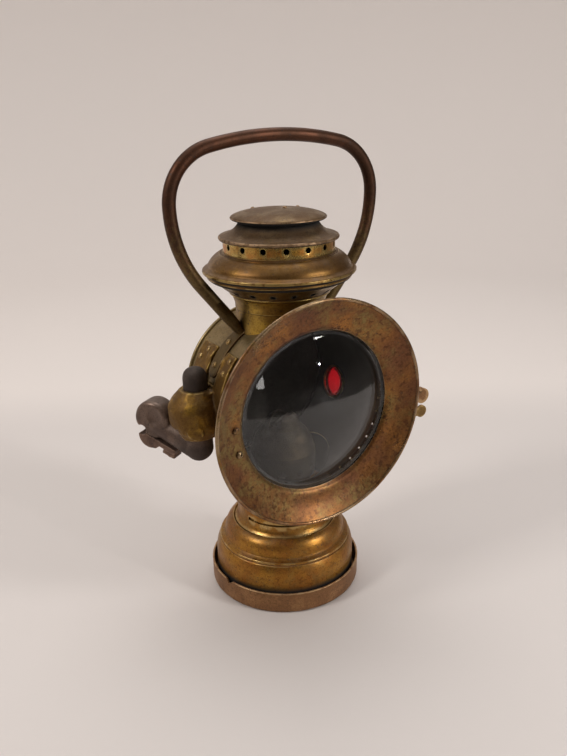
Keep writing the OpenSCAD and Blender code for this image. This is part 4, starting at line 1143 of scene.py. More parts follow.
@dataclass(frozen=True)
class Rivet:
    """A fastener's head: where it sits, which way it faces, and its form. Sizes in mm."""

    place: Vector
    facing: Vector
    radius: float
    height: float
    dimple: float = 0.0
    sides: int = 24

    def add_to(self, bm: bmesh.types.BMesh) -> None:
        """Adds the head to a bmesh.

        Args:
            bm: the mesh to add to.
        """
        r, h = self.radius, self.height
        line = [(r, -0.3), (r, 0.12 * h), (0.94 * r, 0.38 * h), (0.76 * r, 0.74 * h), (0.5 * r, 0.95 * h)]
        if self.dimple:
            line += [(0.34 * r, h), (0.22 * r, h - 0.7 * self.dimple), (0.0, h - self.dimple)]
        else:
            line += [(0.25 * r, h), (0.0, h * 1.01)]
        line = rounded(smoothed(line, 3), 0.1, 0.4, closed=False)
        turn = self.facing.normalized().to_track_quat("Z", "Y").to_matrix()
        rings = []
        for radius, z in line:
            angles = [2 * math.pi * k / self.sides for k in range(1 if radius < 1e-4 else self.sides)]
            ring = [Vector((radius * math.cos(a), radius * math.sin(a), z)) for a in angles]
            rings.append([bm.verts.new((self.place + turn @ p) * MM) for p in ring])
        bridge(bm, rings)


def rivet_piece(name: str, heads: list[Rivet]) -> bpy.types.Object:
    """All the rivets of one node as a piece.

    Args:
        name: its name.
        heads: the rivets.

    Returns:
        The piece.
    """
    bm = bmesh.new()
    for head in heads:
        head.add_to(bm)
    bmesh.ops.recalc_face_normals(bm, faces=bm.faces)
    return from_bmesh(name, bm)


def on_drum(y: float, angle: float, r: float, side: int) -> tuple[Vector, Vector]:
    """A place on the drum.

    Args:
        y: along the drum, in mm.
        angle: up from the side, in degrees.
        r: radius from the drum's axis.
        side: 1 for the right, -1 for the left.

    Returns:
        The place and the way out of the drum.
    """
    a = math.radians(angle)
    out = Vector((side * math.cos(a), 0, math.sin(a)))
    return Vector((0, y, DRUM_Z)) + out * r, out


# ---------------------------------------------------------------- sub-assemblies


@dataclass
class FontAssembly:
    """The oil font in its cup, with burner and wick raiser. Sizes in mm."""

    cup_r: float = 46.0
    cup_h: float = 13.5
    cup_t: float = 1.1
    font_r: float = 42.8
    tier_r: float = 36.9
    shelf_z: float = 31.4
    top_z: float = 41.9
    foot_r: float = 30.7
    mouth_r: float = 12.0
    skin: float = 0.8
    nick_at: float = -167.0
    nick: Outline = field(default_factory=lambda: [(-3.0, 0.3), (-2.6, 0.0), (-1.2, -3.4), (2.4, -0.6), (2.8, 0.3)])

    def cup_outline(self) -> Outline:
        """The cup's wall and floor, with its rim a little rolled."""
        r, h, t = self.cup_r, self.cup_h, self.cup_t
        return rounded([(0, 0), (r - 1.9, 0), (r - 0.5, 0.6), (r, 2.0), (r, h - 1.2), (r + 0.15, h - 0.3),
                        (r - 0.3, h), (r - t, h - 0.1), (r - t, t), (0, t)], 0.5, 0.8)

    def tank_outline(self) -> Outline:
        """The tank from its wall over shoulder, crease and tier to its recessed top."""
        low = arc((self.font_r - 18, 20), 18, 0, 28, 12)
        high = arc((self.tier_r - 9, self.top_z - 8.1), 9, 6, 64, 14)
        line = [(self.font_r, 2.3), *low, (self.font_r - 2.9, 28.9), (self.font_r - 2.35, 29.5),
                (self.font_r - 2.6, 30.4), (self.tier_r + 1.8, self.shelf_z - 0.5),
                (self.tier_r + 0.5, self.shelf_z + 0.3), (self.tier_r + 0.1, self.shelf_z + 1.4), *high,
                (self.foot_r + 0.6, self.top_z - 0.3), (self.foot_r + 0.3, self.top_z - 1.1),
                (self.foot_r, self.top_z - 1.3), (self.mouth_r + 2.2, self.top_z - 1.3),
                (self.mouth_r, self.top_z - 1.3)]
        return rounded([(0, 1.1), (self.font_r, 1.1)] + sheet(line, self.skin) + [(0, 2.3)], 0.35, 0.9)

    def tear_rim(self, piece: bpy.types.Object) -> None:
        """Tears the nick in the cup's rim.

        Args:
            piece: the cup.
        """
        middle = math.radians(self.nick_at)
        for v in piece.data.vertices:
            along = (math.atan2(v.co.y, v.co.x) - middle + math.pi) % (2 * math.pi) - math.pi
            s, z = along * self.cup_r, v.co.z / MM
            near = z > self.cup_h - 5.5 and math.hypot(v.co.x, v.co.y) > (self.cup_r - 6) * MM
            if near and self.nick[0][0] < s < self.nick[-1][0]:
                edge = float(np.interp(s, *zip(*self.nick)))
                v.co.z = min(v.co.z, (self.cup_h + edge) * MM)

    def build(self, shop: Workshop) -> None:
        """Makes and finishes the sub-assembly.

        Args:
            shop: puts finishes on pieces.
        """
        cup = turned("base_cup_spun", [self.cup_outline()], segments=320, dent=0.14, seed=1)
        self.tear_rim(cup)
        shop.fit(cup, "font", COPPER, "base_cup")
        # the rule darkens the tank inside and just above the cup: painted shade between the two parts
        shop.spin("font_tank", [self.tank_outline()], "font", FONT_BRASS, lambda p, n: (15.6 - p.z) / 3,
                  segments=220, dent=0.16, seed=2)
        shop.dress("font_neck", OLD_BRASS)
        shop.dress("burner_collar", OLD_BRASS)
        for node in ("burner_base", "air_deck", "wick_tube", "burner_cone"):
            shop.dress(node, SOOTY_BRASS)
        shop.dress("wick", WICK_COTTON)
        shop.dress("wick_spindle", STEEL)
        shop.dress("spur_wheels", STEEL)
        shop.ease("thumbwheel", 0.12, "wick_knob", OLD_BRASS)


@dataclass
class DrumAssembly:
    """Collar, drum, back, reflector and side jewel. Sizes in mm."""

    drum_in: float = 45.2
    rear: float = 28.6
    bead_r: float = 1.3
    back_depth: float = 12.0
    skin: float = 0.8

    def back_outlines(self) -> list[Outline]:
        """The domed back and the bead that joins it to the drum."""
        depth = self.back_depth - self.bead_r
        line = [(self.drum_in * k / 24, self.rear + self.bead_r + depth * (1 - (k / 24) ** 2)) for k in range(25)]
        dome = line[::-1] + [(r, y + self.skin) for r, y in line]
        bead = arc((DRUM_R, self.rear + self.bead_r), self.bead_r, 0, 345, 22)
        return [dome, bead]

    def build(self, shop: Workshop) -> None:
        """Makes and finishes the sub-assembly.

        Args:
            shop: puts finishes on pieces.
        """
        shop.ease("lamp_collar", 0.12, "lamp", FONT_BRASS, inside_stack(28.2, 60.0))
        shop.ease("drum_shell", 0.1, "lamp", DRUM_BRASS, inside_drum(45.7))
        shop.spin("drum_back", self.back_outlines(), "lamp", DRUM_BRASS, axis=Axis.DRUM, segments=180, dent=0.1,
                  seed=5)
        # the reflector is painted near black as the shade inside the lamp
        shop.dress("reflector", SILVERED_PAINTED_DARK)
        shop.ease("jewel_bezel", 0.2, "lamp", OLD_BRASS)
        shop.ease("side_jewel", 0.2, "lamp", RED_GLASS)


@dataclass
class DoorAssembly:
    """The flared door with its bull's-eye, hinge and latch. Sizes in mm."""

    opening_r: float = 45.9
    opening_y: float = 39.3
    flare_r: float = 64.6
    rim_r: float = 1.0
    rise: float = 7.6
    band_r: float = 47.8
    band_in: float = 47.0
    band_rear: float = -34.65
    lens_r: float = 46.85
    lens_front: float = -38.5
    lens_edge: float = 3.0
    bulge: float = 9.0
    flat: float = 2.6
    rivet_r: float = 50.6
    rivets: list[float] = field(default_factory=lambda: [178.2, -166.0])
    bow: Outline = field(default_factory=lambda: [
        (60.5, 0.35), (56.5, 0.75), (52.5, 0.45), (49.4, -0.1), (47.6, -0.25), (46.5, 0.2)])

    @property
    def slope(self) -> float:
        """Lean of the flare, as rise over run."""
        return self.rise / (self.flare_r - self.rim_r - self.opening_r)

    def flare_y(self, r: float) -> float:
        """Place of the flare's face along the drum, at a radius."""
        return -self.opening_y - (r - self.opening_r) * self.slope

    def flare_outline(self) -> Outline:
        """The flare with its rolled rim, eased lip and the band behind it."""
        edge = self.flare_r - self.rim_r
        face = [(edge - 0.6, self.flare_y(edge - 0.6)), *[(r, self.flare_y(r) + b) for r, b in self.bow],
                (self.opening_r, -38.9)]
        lean = math.degrees(math.atan(self.slope))
        rim = arc((edge, self.flare_y(edge) + 0.44), self.rim_r, 180 - lean + 26, 540 - lean - 26, 20)
        back = [(self.band_r, self.flare_y(self.band_r) + 0.9), (self.band_r, self.band_rear),
                (self.band_in, self.band_rear), (self.band_in, self.lens_front), (self.opening_r, self.lens_front)]
        return rounded(smoothed(face, 4)[::-1] + rim + back, 0.3, 0.8)

    def lens_outline(self) -> Outline:
        """The lens: a flat flange, a short foot, the domed front and a hollow back that follows it."""
        dome_r, tall = self.opening_r - self.flat, self.bulge
        ball = (dome_r * dome_r + tall * tall) / (2 * tall)
        inner = ball - self.lens_edge
        top = self.lens_front - tall
        rear = self.lens_front + self.lens_edge
        steps = 44
        radii = [dome_r * k / steps for k in range(steps + 1)]
        front = [(r, top + ball - math.sqrt(ball * ball - r * r)) for r in radii]
        back = [(self.lens_r, rear), (self.lens_r - 1.5, rear)]
        back += [(r, min(rear, top + ball - math.sqrt(inner * inner - r * r))) for r in radii[::-1]]
        return front + [(dome_r + 0.25, self.lens_front + 0.02), (self.lens_r - 0.2, self.lens_front),
                        (self.lens_r, self.lens_front + 0.2), (self.lens_r, rear - 0.2)] + back

    def rivet(self, angle: float, dimple: float) -> Rivet:
        """A fastener on the flare's face.

        Args:
            angle: up from the right, in degrees.
            dimple: depth of the dimple in its head.

        Returns:
            The fastener.
        """
        out = Axis.DRUM.out(math.radians(angle))
        place = Vector((0, self.flare_y(self.rivet_r) - 0.25, DRUM_Z)) + out * self.rivet_r
        return Rivet(place, Vector((0, -1, 0)) - out * self.slope, 2.0, 1.25, dimple)

    def build(self, shop: Workshop) -> None:
        """Makes and finishes the sub-assembly.

        Args:
            shop: puts finishes on pieces.
        """
        shop.spin("door_flare", [self.flare_outline()], "door", DOOR_COPPER, axis=Axis.DRUM, segments=240, dent=0.16,
                  seed=3)
        lens = turned("bulls_eye_lens", [self.lens_outline()], Axis.DRUM, 200, closed=False)
        hold_corners(lens, 30)
        shop.fit(lens, "door", CLEAR_GLASS, "lens")
        # the lens ring is painted dark as the shadow in the gap round the lens
        shop.dress("lens_ring", BRASS_IN_PAINTED_SHADE)
        shop.ease("hinge_leaf_door", 0.25, "door", COPPER)
        heads = [self.rivet(self.rivets[0], 0.0), self.rivet(self.rivets[1], 0.95)]
        shop.fit(rivet_piece("door_fasteners", heads), "door", DOOR_COPPER, "door_rivets")
        shop.ease("latch_plate", 0.25, "door", OLD_BRASS)
        shop.ease("latch_pin", 0.2, "door", OLD_BRASS)
        shop.ease("latch_lever", 0.25, "latch", COPPER)


@dataclass
class Ventilator:
    """Neck, draught funnel, bulge, gallery and the two caps. Sizes in mm."""

    neck_r: float = 24.9
    flare_z: float = 176.0
    funnel_z: float = 184.0
    neck_top_r: float = 28.4
    funnel_out_r: float = 36.8
    funnel_out_z: float = 191.3
    holes: int = 18
    hole_up: float = 0.38
    hole_turn: float = 0.7
    hole_reach: float = 2.7
    hole_tall: float = 1.3
    bulge_r: float = 42.6
    bulge_z: float = 196.0
    gallery_r: float = 30.7
    gallery_z: float = 206.6
    cap_z: float = 212.7
    lower_r: float = 33.1
    top_r: float = 26.3
    top_z: float = 223.0
    skin: float = 0.8

    def neck(self) -> bpy.types.Object:
        """The neck, its foot cut to the drum."""
        r, z = self.neck_r, self.funnel_z
        line = [(r, 150.0), (r, 175.2), (r + 0.28, 175.5), (r + 0.28, 176.4), (r + 0.4, self.flare_z + 2),
                (r + 1.2, self.flare_z + 4.4), (r + 2.1, z - 1.6), (self.neck_top_r, z - 0.5), (self.neck_top_r, z)]
        outline = rounded(sheet(line, self.skin), 0.3, 0.9)
        piece = turned("chimney_neck_spun", [outline], segments=180, dent=0.14, seed=4)
        for v in piece.data.vertices:
            x = v.co.x / MM
            saddle = DRUM_Z + math.sqrt(max(DRUM_R ** 2 - x * x, 0)) - 0.35
            if v.co.z / MM < saddle:
                v.co.z = saddle * MM
        with opened(piece) as bm:
            bmesh.ops.dissolve_degenerate(bm, dist=1e-7, edges=bm.edges)
        return piece

    def hole_shade_and_soot(self, p: Vector, n: Vector) -> float:
        """Share of soot inside the funnel, and of painted shade in a ring round each air hole.

        The holes are hole_up of the way up the cone, the first is hole_turn of a step round, and the painted shade
        reaches hole_reach from the middle of each.

        Args:
            p: a place on the funnel, in mm.
            n: the normal there.

        Returns:
            The share of soot.
        """
        step = 360 / self.holes
        r = self.neck_top_r + self.hole_up * (self.funnel_out_r - self.neck_top_r)
        z = self.funnel_z + self.hole_up * (self.funnel_out_z - self.funnel_z)
        turn = (math.degrees(math.atan2(p.y, p.x)) / step - self.hole_turn + 0.5) % 1 - 0.5
        far = math.hypot(math.radians(turn * step) * r, self.hole_tall * (p.z - z))
        return max(0.9 if n.x * p.x + n.y * p.y < 0 else 0.0, self.hole_reach - far)

    def bowl_outline(self) -> Outline:
        """Under half of the bulge, with its lower bead."""
        r, z = self.funnel_out_r, self.funnel_out_z
        line = smoothed([(r - 0.8, z), (r + 0.9, 191.0), (39.4, 191.8), (40.5, 193.0), (40.5, 194.1), (41.2, 194.7),
                         (42.2, 195.1), (self.bulge_r, 195.6), (self.bulge_r, self.bulge_z)], 4)
        return rounded(sheet(line, 0.7), 0.15, 0.9)

    def shoulder_outline(self) -> Outline:
        """Upper half of the bulge, up to the gallery."""
        r, z = self.bulge_r, self.bulge_z
        low = smoothed([(r, z), (r - 0.1, z + 0.7), (r - 0.9, z + 1.3), (r - 2.0, z + 1.7), (r - 2.9, z + 2.4),
                        (r - 3.3, z + 3.5)], 4)
        high = arc((r - 15.5, z - 3), 13.9, 31, 66, 14)
        top = [(self.gallery_r + 1.7, self.gallery_z - 1.1), (self.gallery_r + 0.6, self.gallery_z - 0.5),
               (self.gallery_r + 0.25, self.gallery_z)]
        return rounded(sheet(low + high + top, self.skin), 0.2, 0.9)

    def lower_cap_outline(self) -> Outline:
        """The lower cap: a full rim and a hollow rise to the top cap's neck."""
        r, z = self.lower_r, self.cap_z
        line = [(self.gallery_r - 2, z), *arc((r - 1.0, z + 1.05), 1.05, -90, 70, 8),
                *smoothed([(r - 2.4, z + 2.3), (28, z + 3.4), (25.5, z + 4.8), (23.7, z + 6.4), (22.4, z + 8.1),
                           (21.8, self.top_z - 1.2)], 4)]
        return rounded(sheet(line, self.skin), 0.2, 0.9)

    def top_cap_outline(self) -> Outline:
        """The top cap: a thick rounded rim under a low dome."""
        r, z = self.top_r, self.top_z
        over = smoothed([(21.0, z - 1.2), (22.2, z - 1.1), (23.2, z - 0.3), (r - 1.0, z + 0.15), (r, z + 0.95),
                         (r - 0.5, z + 1.9), (r - 2.2, z + 2.8), (r - 5.2, z + 3.75), (16, z + 4.8),
                         (8, z + 5.5), (0, z + 5.8)], 5)
        under = [(0, z + 4.9), (8, z + 4.6), (16, z + 3.9), (r - 5, z + 2.9), (r - 2.6, z + 1.9),
                 (r - 2.6, z + 0.6), (21.0, z - 0.3)]
        return rounded(over + under, 0.2, 0.9)

    def stud(self, x: float, y: float, lift: float) -> Rivet:
        """A stud on the top cap."""
        return Rivet(Vector((x, y, self.top_z + lift)), Vector((x * 0.012, y * 0.012, 1)), 1.3, 1.1, 0.35)

    def build(self, shop: Workshop) -> None:
        """Makes and finishes the sub-assembly.

        Args:
            shop: puts finishes on pieces.
        """
        shop.fit(self.neck(), "lamp", NECK_BRASS, "chimney_neck")
        # the rule gives soot on the funnel's inner side and painted shade round its air holes
        shop.ease("draught_funnel", 0.1, "lamp", OLD_BRASS, self.hole_shade_and_soot)
        # the rule darkens the downward faces of the bowl: painted shade under the bulge
        shop.spin("vent_bowl", [self.bowl_outline()], "lamp", VENT_BRASS, lambda p, n: (-n.z - 0.3) / 0.35,
                  segments=200, dent=0.1, seed=6)
        shop.spin("vent_shoulder", [self.shoulder_outline()], "lamp", VENT_BRASS, segments=200, dent=0.14, seed=7)
        shop.dress("inner_flue", SOOTY_BRASS)
        shop.ease("gallery", 0.12, "lamp", GALLERY_BRASS, inside_stack(30.3))
        # the rule darkens the cap's rise under the top cap and its downward faces: painted shade in the gap between
        # the caps and under the rim
        shop.spin("lower_cap", [self.lower_cap_outline()], "lamp", CAP_COPPER,
                  lambda p, n: 0.85 * (p.z - 218.2) / 2.6 if n.z > -0.5 else 0.8, segments=180, dent=0.07, seed=8)
        # the rule darkens the top cap's downward faces: painted shade under its rim and dome
        shop.spin("top_cap", [self.top_cap_outline()], "lamp", CAP_COPPER, lambda p, n: 0.95 * (-n.z - 0.1) / 0.35,
                  segments=180, dent=0.07, seed=9)
        studs = [self.stud(3, -2, 5.6), self.stud(19.2, 11.6, 3.25), self.stud(-3.7, 22.6, 3.1)]
        shop.fit(rivet_piece("cap_fasteners", studs), "lamp", CAP_COPPER, "cap_studs")


@dataclass
class Bail:
    """The loop handle with its straps and rivets. Sizes in mm."""

    rod_r: float = 3.5
    top_z: float = 266.2
    crown: float = 180.0
    shoulder: float = 29.0
    side: float = 68.0
    crown_half: float = 12.5
    sweep: float = 38.5
    plane_y: float = 1.2
    strap_w: float = 9.5
    strap_t: float = 1.4
    strap_from: float = 63.0
    strap_to: float = 26.0
    rivets: list[float] = field(default_factory=lambda: [47.0, 29.0])
    foot_steps: list[float] = field(default_factory=lambda: [4, 8, 12, 16, 20, 23, 26, 29, 31.5, 34, 35.7])
    neck_r: float = 24.9
    neck_gap: float = 0.08
    neck_z: tuple[float, float] = (150.0, 200.0)

    def half_path(self) -> list[tuple[float, float]]:
        """Middle line from the crown down the right side to the foot, as x and z."""
        c = math.radians(self.crown_half)
        sx = (self.crown - self.shoulder) * math.sin(c)
        sz = self.top_z - self.crown + (self.crown - self.shoulder) * math.cos(c)
        line = arc((0, self.top_z - self.crown), self.crown, 90, 90 - self.crown_half, 18)
        line += arc((sx, sz), self.shoulder, 90 - self.crown_half, 0, 26)[1:]
        line += arc((sx + self.shoulder - self.side, sz), self.side, 0, -self.sweep, 26)[1:]
        x, z = line[-1]
        a = math.radians(self.sweep)
        return line + [(x - math.sin(a) * s, z - math.cos(a) * s) for s in self.foot_steps]

    def build(self, shop: Workshop) -> None:
        """Makes and finishes the sub-assembly.

        Args:
            shop: puts finishes on pieces.
        """
        half = self.half_path()
        line = [(-x, z) for x, z in half[::-1]] + half[1:]
        path = [Vector((x, self.plane_y, z)) for x, z in line]
        halves = []
        for k in range(len(line)):
            end = min(k, len(line) - 1 - k)
            flat = max(0.0, 1 - end / 5)
            even = 1 + 0.018 * noise.noise(path[k] * 0.09)
            halves.append(((self.rod_r + flat) * even, (self.rod_r - 0.7 * flat) * even))
        bm = bmesh.new()
        swept_into(bm, path, halves, 2.0, 36)
        for side in (1, -1):
            self.strap_into(bm, side)
        low = (self.neck_r + self.neck_gap) * MM
        for v in bm.verts:
            r = math.hypot(v.co.x, v.co.y)
            if r < low and self.neck_z[0] * MM < v.co.z < self.neck_z[1] * MM:
                v.co.x *= low / r
                v.co.y *= low / r
        bmesh.ops.recalc_face_normals(bm, faces=bm.faces)
        handle = from_bmesh("bail_handle", bm)
        hold_corners(handle, 50)
        mark_wear(handle)
        shop.fit(handle, "lamp", HANDLE_METAL, "handle")
        over = DRUM_R + self.strap_t
        heads = [Rivet(*on_drum(self.plane_y, angle, over, side), 1.8, 1.0, 0.25)
                 for side in (1, -1) for angle in self.rivets]
        shop.fit(rivet_piece("bail_rivets", heads), "lamp", OLD_BRASS, "handle_rivets")

    def strap_into(self, bm: bmesh.types.BMesh, side: int) -> None:
        """Adds a strap that lies on the drum.

        Args:
            bm: the mesh to add to.
            side: 1 for the right, -1 for the left.
        """
        r = DRUM_R + self.strap_t / 2 + 0.05
        path, halves = [], []
        half, steps = self.strap_w / 2, 40
        length = math.radians(self.strap_from - self.strap_to) * r + half
        for k in range(steps + 1):
            s = length * (1 - (1 - k / steps) ** 1.6)
            a = math.radians(self.strap_from) - s / r
            path.append(Vector((side * r * math.cos(a), self.plane_y, DRUM_Z + r * math.sin(a))))
            left = length - s
            w = half if left > half else math.sqrt(max(half * half - (half - left) ** 2, 0.02))
            halves.append((w, self.strap_t / 2))
        swept_into(bm, path, halves, 5.0, 32)


@dataclass
class Bracket:
    """Cast socket, hinge on the drum, and the iron dash clamp. Sizes in mm."""

    post: tuple[float, float] = (-53.0, 3.0)
    post_r: float = 6.9
    socket_z: float = 107.0
    socket_h: float = 28.0
    post_top: float = 147.4
    elbow_z: float = 99.1
    clamp_az: float = 125.0
    tilt: float = 21.5
    bolt_x: float = 14.9
    bolt_r: float = 2.4
    bolt_foot: float = -16.5
    bolt_seat: float = -2.0
    pitch: float = 1.25
    thread: float = 0.34
    run_out: float = 3.0
    plate_t: float = 1.8
    pad_turn: float = -118.0
    pad_half: float = 40.0
    full_z: tuple[float, float] = (8.0, 27.6)
    full_by: float = 1.2
    dome_share: float = 0.65
    dome_h: float = 0.93
    dome_power: float = 3.2
    barrel_wall: Outline = field(default_factory=lambda: [(0, 11.2), (5.4, 14.8), (9.4, 15.7), (14.6, 15.8)])
    ears: list[tuple[float, float]] = field(default_factory=lambda: [
        (-11.5, 27), (-12.5, 36), (19.5, 29), (14.5, 36), (-13.9, -15), (20.3, -15)])

    def clamp_frame(self) -> Matrix:
        """The clamp's own axes, x along its arm and z square to it."""
        spin = Matrix.Rotation(math.radians(self.clamp_az), 4, "Z")
        lean = Matrix.Rotation(math.radians(-self.tilt), 4, "Y")
        return Matrix.Translation(Vector((*self.post, self.elbow_z))) @ spin @ lean

    def true_round(self, piece: bpy.types.Object, low: float, high: float, reach: float, r: float) -> None:
        """Brings points near the post's axis back to a true radius.

        Args:
            piece: the piece.
            low: lowest height that is touched, in mm.
            high: highest height that is touched.
            reach: points nearer the axis than this are touched.
            r: the true radius.
        """
        px, py = self.post[0] * MM, self.post[1] * MM
        for v in piece.data.vertices:
            dx, dy = v.co.x - px, v.co.y - py
            d = math.hypot(dx, dy)
            if low * MM < v.co.z < high * MM and 1e-6 < d < reach * MM:
                v.co.x, v.co.y = px + dx * r * MM / d, py + dy * r * MM / d

    def square_barrel(self, piece: bpy.types.Object) -> None:
        """Fills out the shoulder at the top of the barrel and softens its pad.

        Args:
            piece: the socket.
        """
        px, py = self.post[0] * MM, self.post[1] * MM
        low, high = self.full_z
        for v in piece.data.vertices:
            dx, dy, z = v.co.x - px, v.co.y - py, v.co.z / MM - self.socket_z
            d = math.hypot(dx, dy)
            if d > (self.post_r + 2.4) * MM and low < z < high and dx < 6 * MM:
                rise = math.sin(math.pi * ((z - low) / (high - low)) ** 1.8) ** 2
                push = self.full_by * rise * min(1.0, (6 - dx / MM) / 6)
                v.co.x += dx / d * push * MM
                v.co.y += dy / d * push * MM
            wall = float(np.interp(z, *zip(*self.barrel_wall))) * MM
            turn = (math.degrees(math.atan2(dy, dx)) - self.pad_turn + 180) % 360 - 180
            if d > wall and abs(turn) < self.pad_half and z < self.barrel_wall[-1][0]:
                v.co.x -= dx / d * 0.5 * (d - wall)
                v.co.y -= dy / d * 0.5 * (d - wall)

    def flatten_post(self, piece: bpy.types.Object) -> None:
        """Gives the post's top the flattened dome of a headed pin.

        Args:
            piece: the arm.
        """
        low = self.post_top - self.post_r
        for v in piece.data.vertices:
            d = math.hypot(v.co.x / MM - self.post[0], v.co.y / MM - self.post[1]) / self.post_r
            z = v.co.z / MM - low
            if z > 0 and d < 1.15:
                dome = self.dome_h * self.post_r * math.sqrt(max(0.0, 1 - min(d, 1.0) ** self.dome_power))
                v.co.z = (low + (1 - self.dome_share) * z + self.dome_share * dome) * MM

    @staticmethod
    def arm_soot(p: Vector, n: Vector) -> float:
        """Share of old dirt at the post's top and round the elbow.

        Args:
            p: a place on the arm, in mm.
            n: the normal there.

        Returns:
            The share of dirt.
        """
        elbow = 0.4 * min(1.0, (108 - p.z) / 8) if p.x > -66 else 0.0
        return max(0.58 * min(1.0, (p.z - 128) / 6), elbow)

    def bolt(self) -> bpy.types.Object:
        """The clamp bolt with a real thread."""
        bm = bmesh.new()
        turns, place = 40, self.clamp_frame()
        length = self.bolt_seat - self.bolt_foot
        rows = int(length / 0.1)
        rings = []
        for k in range(rows + 1):
            z = length * k / rows
            tip = 0.5 * max(0.0, 1 - z / 0.7)
            fade = min(1.0, (length - z) / self.run_out)
            ring = []
            for j in range(turns):
                phase = (z / self.pitch - j / turns) % 1.0
                r = self.bolt_r - self.thread * (1 - abs(2 * phase - 1)) ** 0.8 * fade - tip
                a = 2 * math.pi * j / turns
                spot = Vector((self.bolt_x + r * math.cos(a), r * math.sin(a), self.bolt_foot + z))
                ring.append(bm.verts.new(place @ spot * MM))
            rings.append(ring)
        bridge(bm, rings)
        bm.faces.new(rings[0])
        bm.faces.new(rings[-1])
        bmesh.ops.recalc_face_normals(bm, faces=bm.faces)
        piece = from_bmesh("clamp_bolt_threaded", bm)
        hold_corners(piece, 60)
        mark_wear(piece, 0.4, 0)
        return piece

    def build(self, shop: Workshop) -> None:
        """Makes and finishes the sub-assembly.

        Args:
            shop: puts finishes on pieces.
        """
        socket = forged("lamp_socket", 0.5, 18, "lamp_socket_cast")
        self.square_barrel(socket)
        swell(socket, 0.3, 0.16, 3.0)
        swell(socket, 0.12, 0.5, 4.0)
        self.true_round(socket, self.socket_z, self.socket_z + self.socket_h + 1, self.post_r + 0.55,
                        self.post_r + 0.07)
        mark_wear(socket, 1.6, 2)
        shop.fit(socket, "lamp", CAST_BRASS, "lamp_socket")
        spots = [on_drum(y, angle, DRUM_R + self.plate_t, -1) for y, angle in self.ears]
        heads = [Rivet(place - out * 0.1, out, 1.8, 1.1) for place, out in spots]
        shop.fit(rivet_piece("socket_fasteners", heads), "lamp", OLD_BRASS, "socket_rivets")
        shop.ease("hinge_leaf_body", 0.2, "lamp", OLD_BRASS)
        shop.ease("catch_lug", 0.2, "lamp", OLD_BRASS)
        shop.ease("hinge_pin", 0.1, "lamp", STEEL)
        arm = forged("clamp_arm", 0.42, 9)
        self.flatten_post(arm)
        swell(arm, 0.1, 0.2, 5.0)
        self.true_round(arm, self.socket_z - 0.3, self.post_top - self.post_r, self.post_r + 0.6,
                        self.post_r - 0.02)
        mark_wear(arm, 1.8, 2)
        shop.fit(arm, "clamp", IRON, "clamp_arm", soot_and_shade=self.arm_soot)
        jaw = forged("clamp_jaw", 0.3, 6)
        swell(jaw, 0.08, 0.3, 6.0)
        mark_wear(jaw, 1.4, 2)
        shop.fit(jaw, "jaw", RUSTY_IRON, "clamp_jaw")
        shop.fit(self.bolt(), "clamp", RUSTY_IRON, "clamp_bolt")
        shop.ease("clamp_nut", 0.5, "nut", RUSTY_IRON)


# ---------------------------------------------------------------- studio

WARM_WHITE = (1.0, 0.97, 0.95)
SENSOR = 36.0


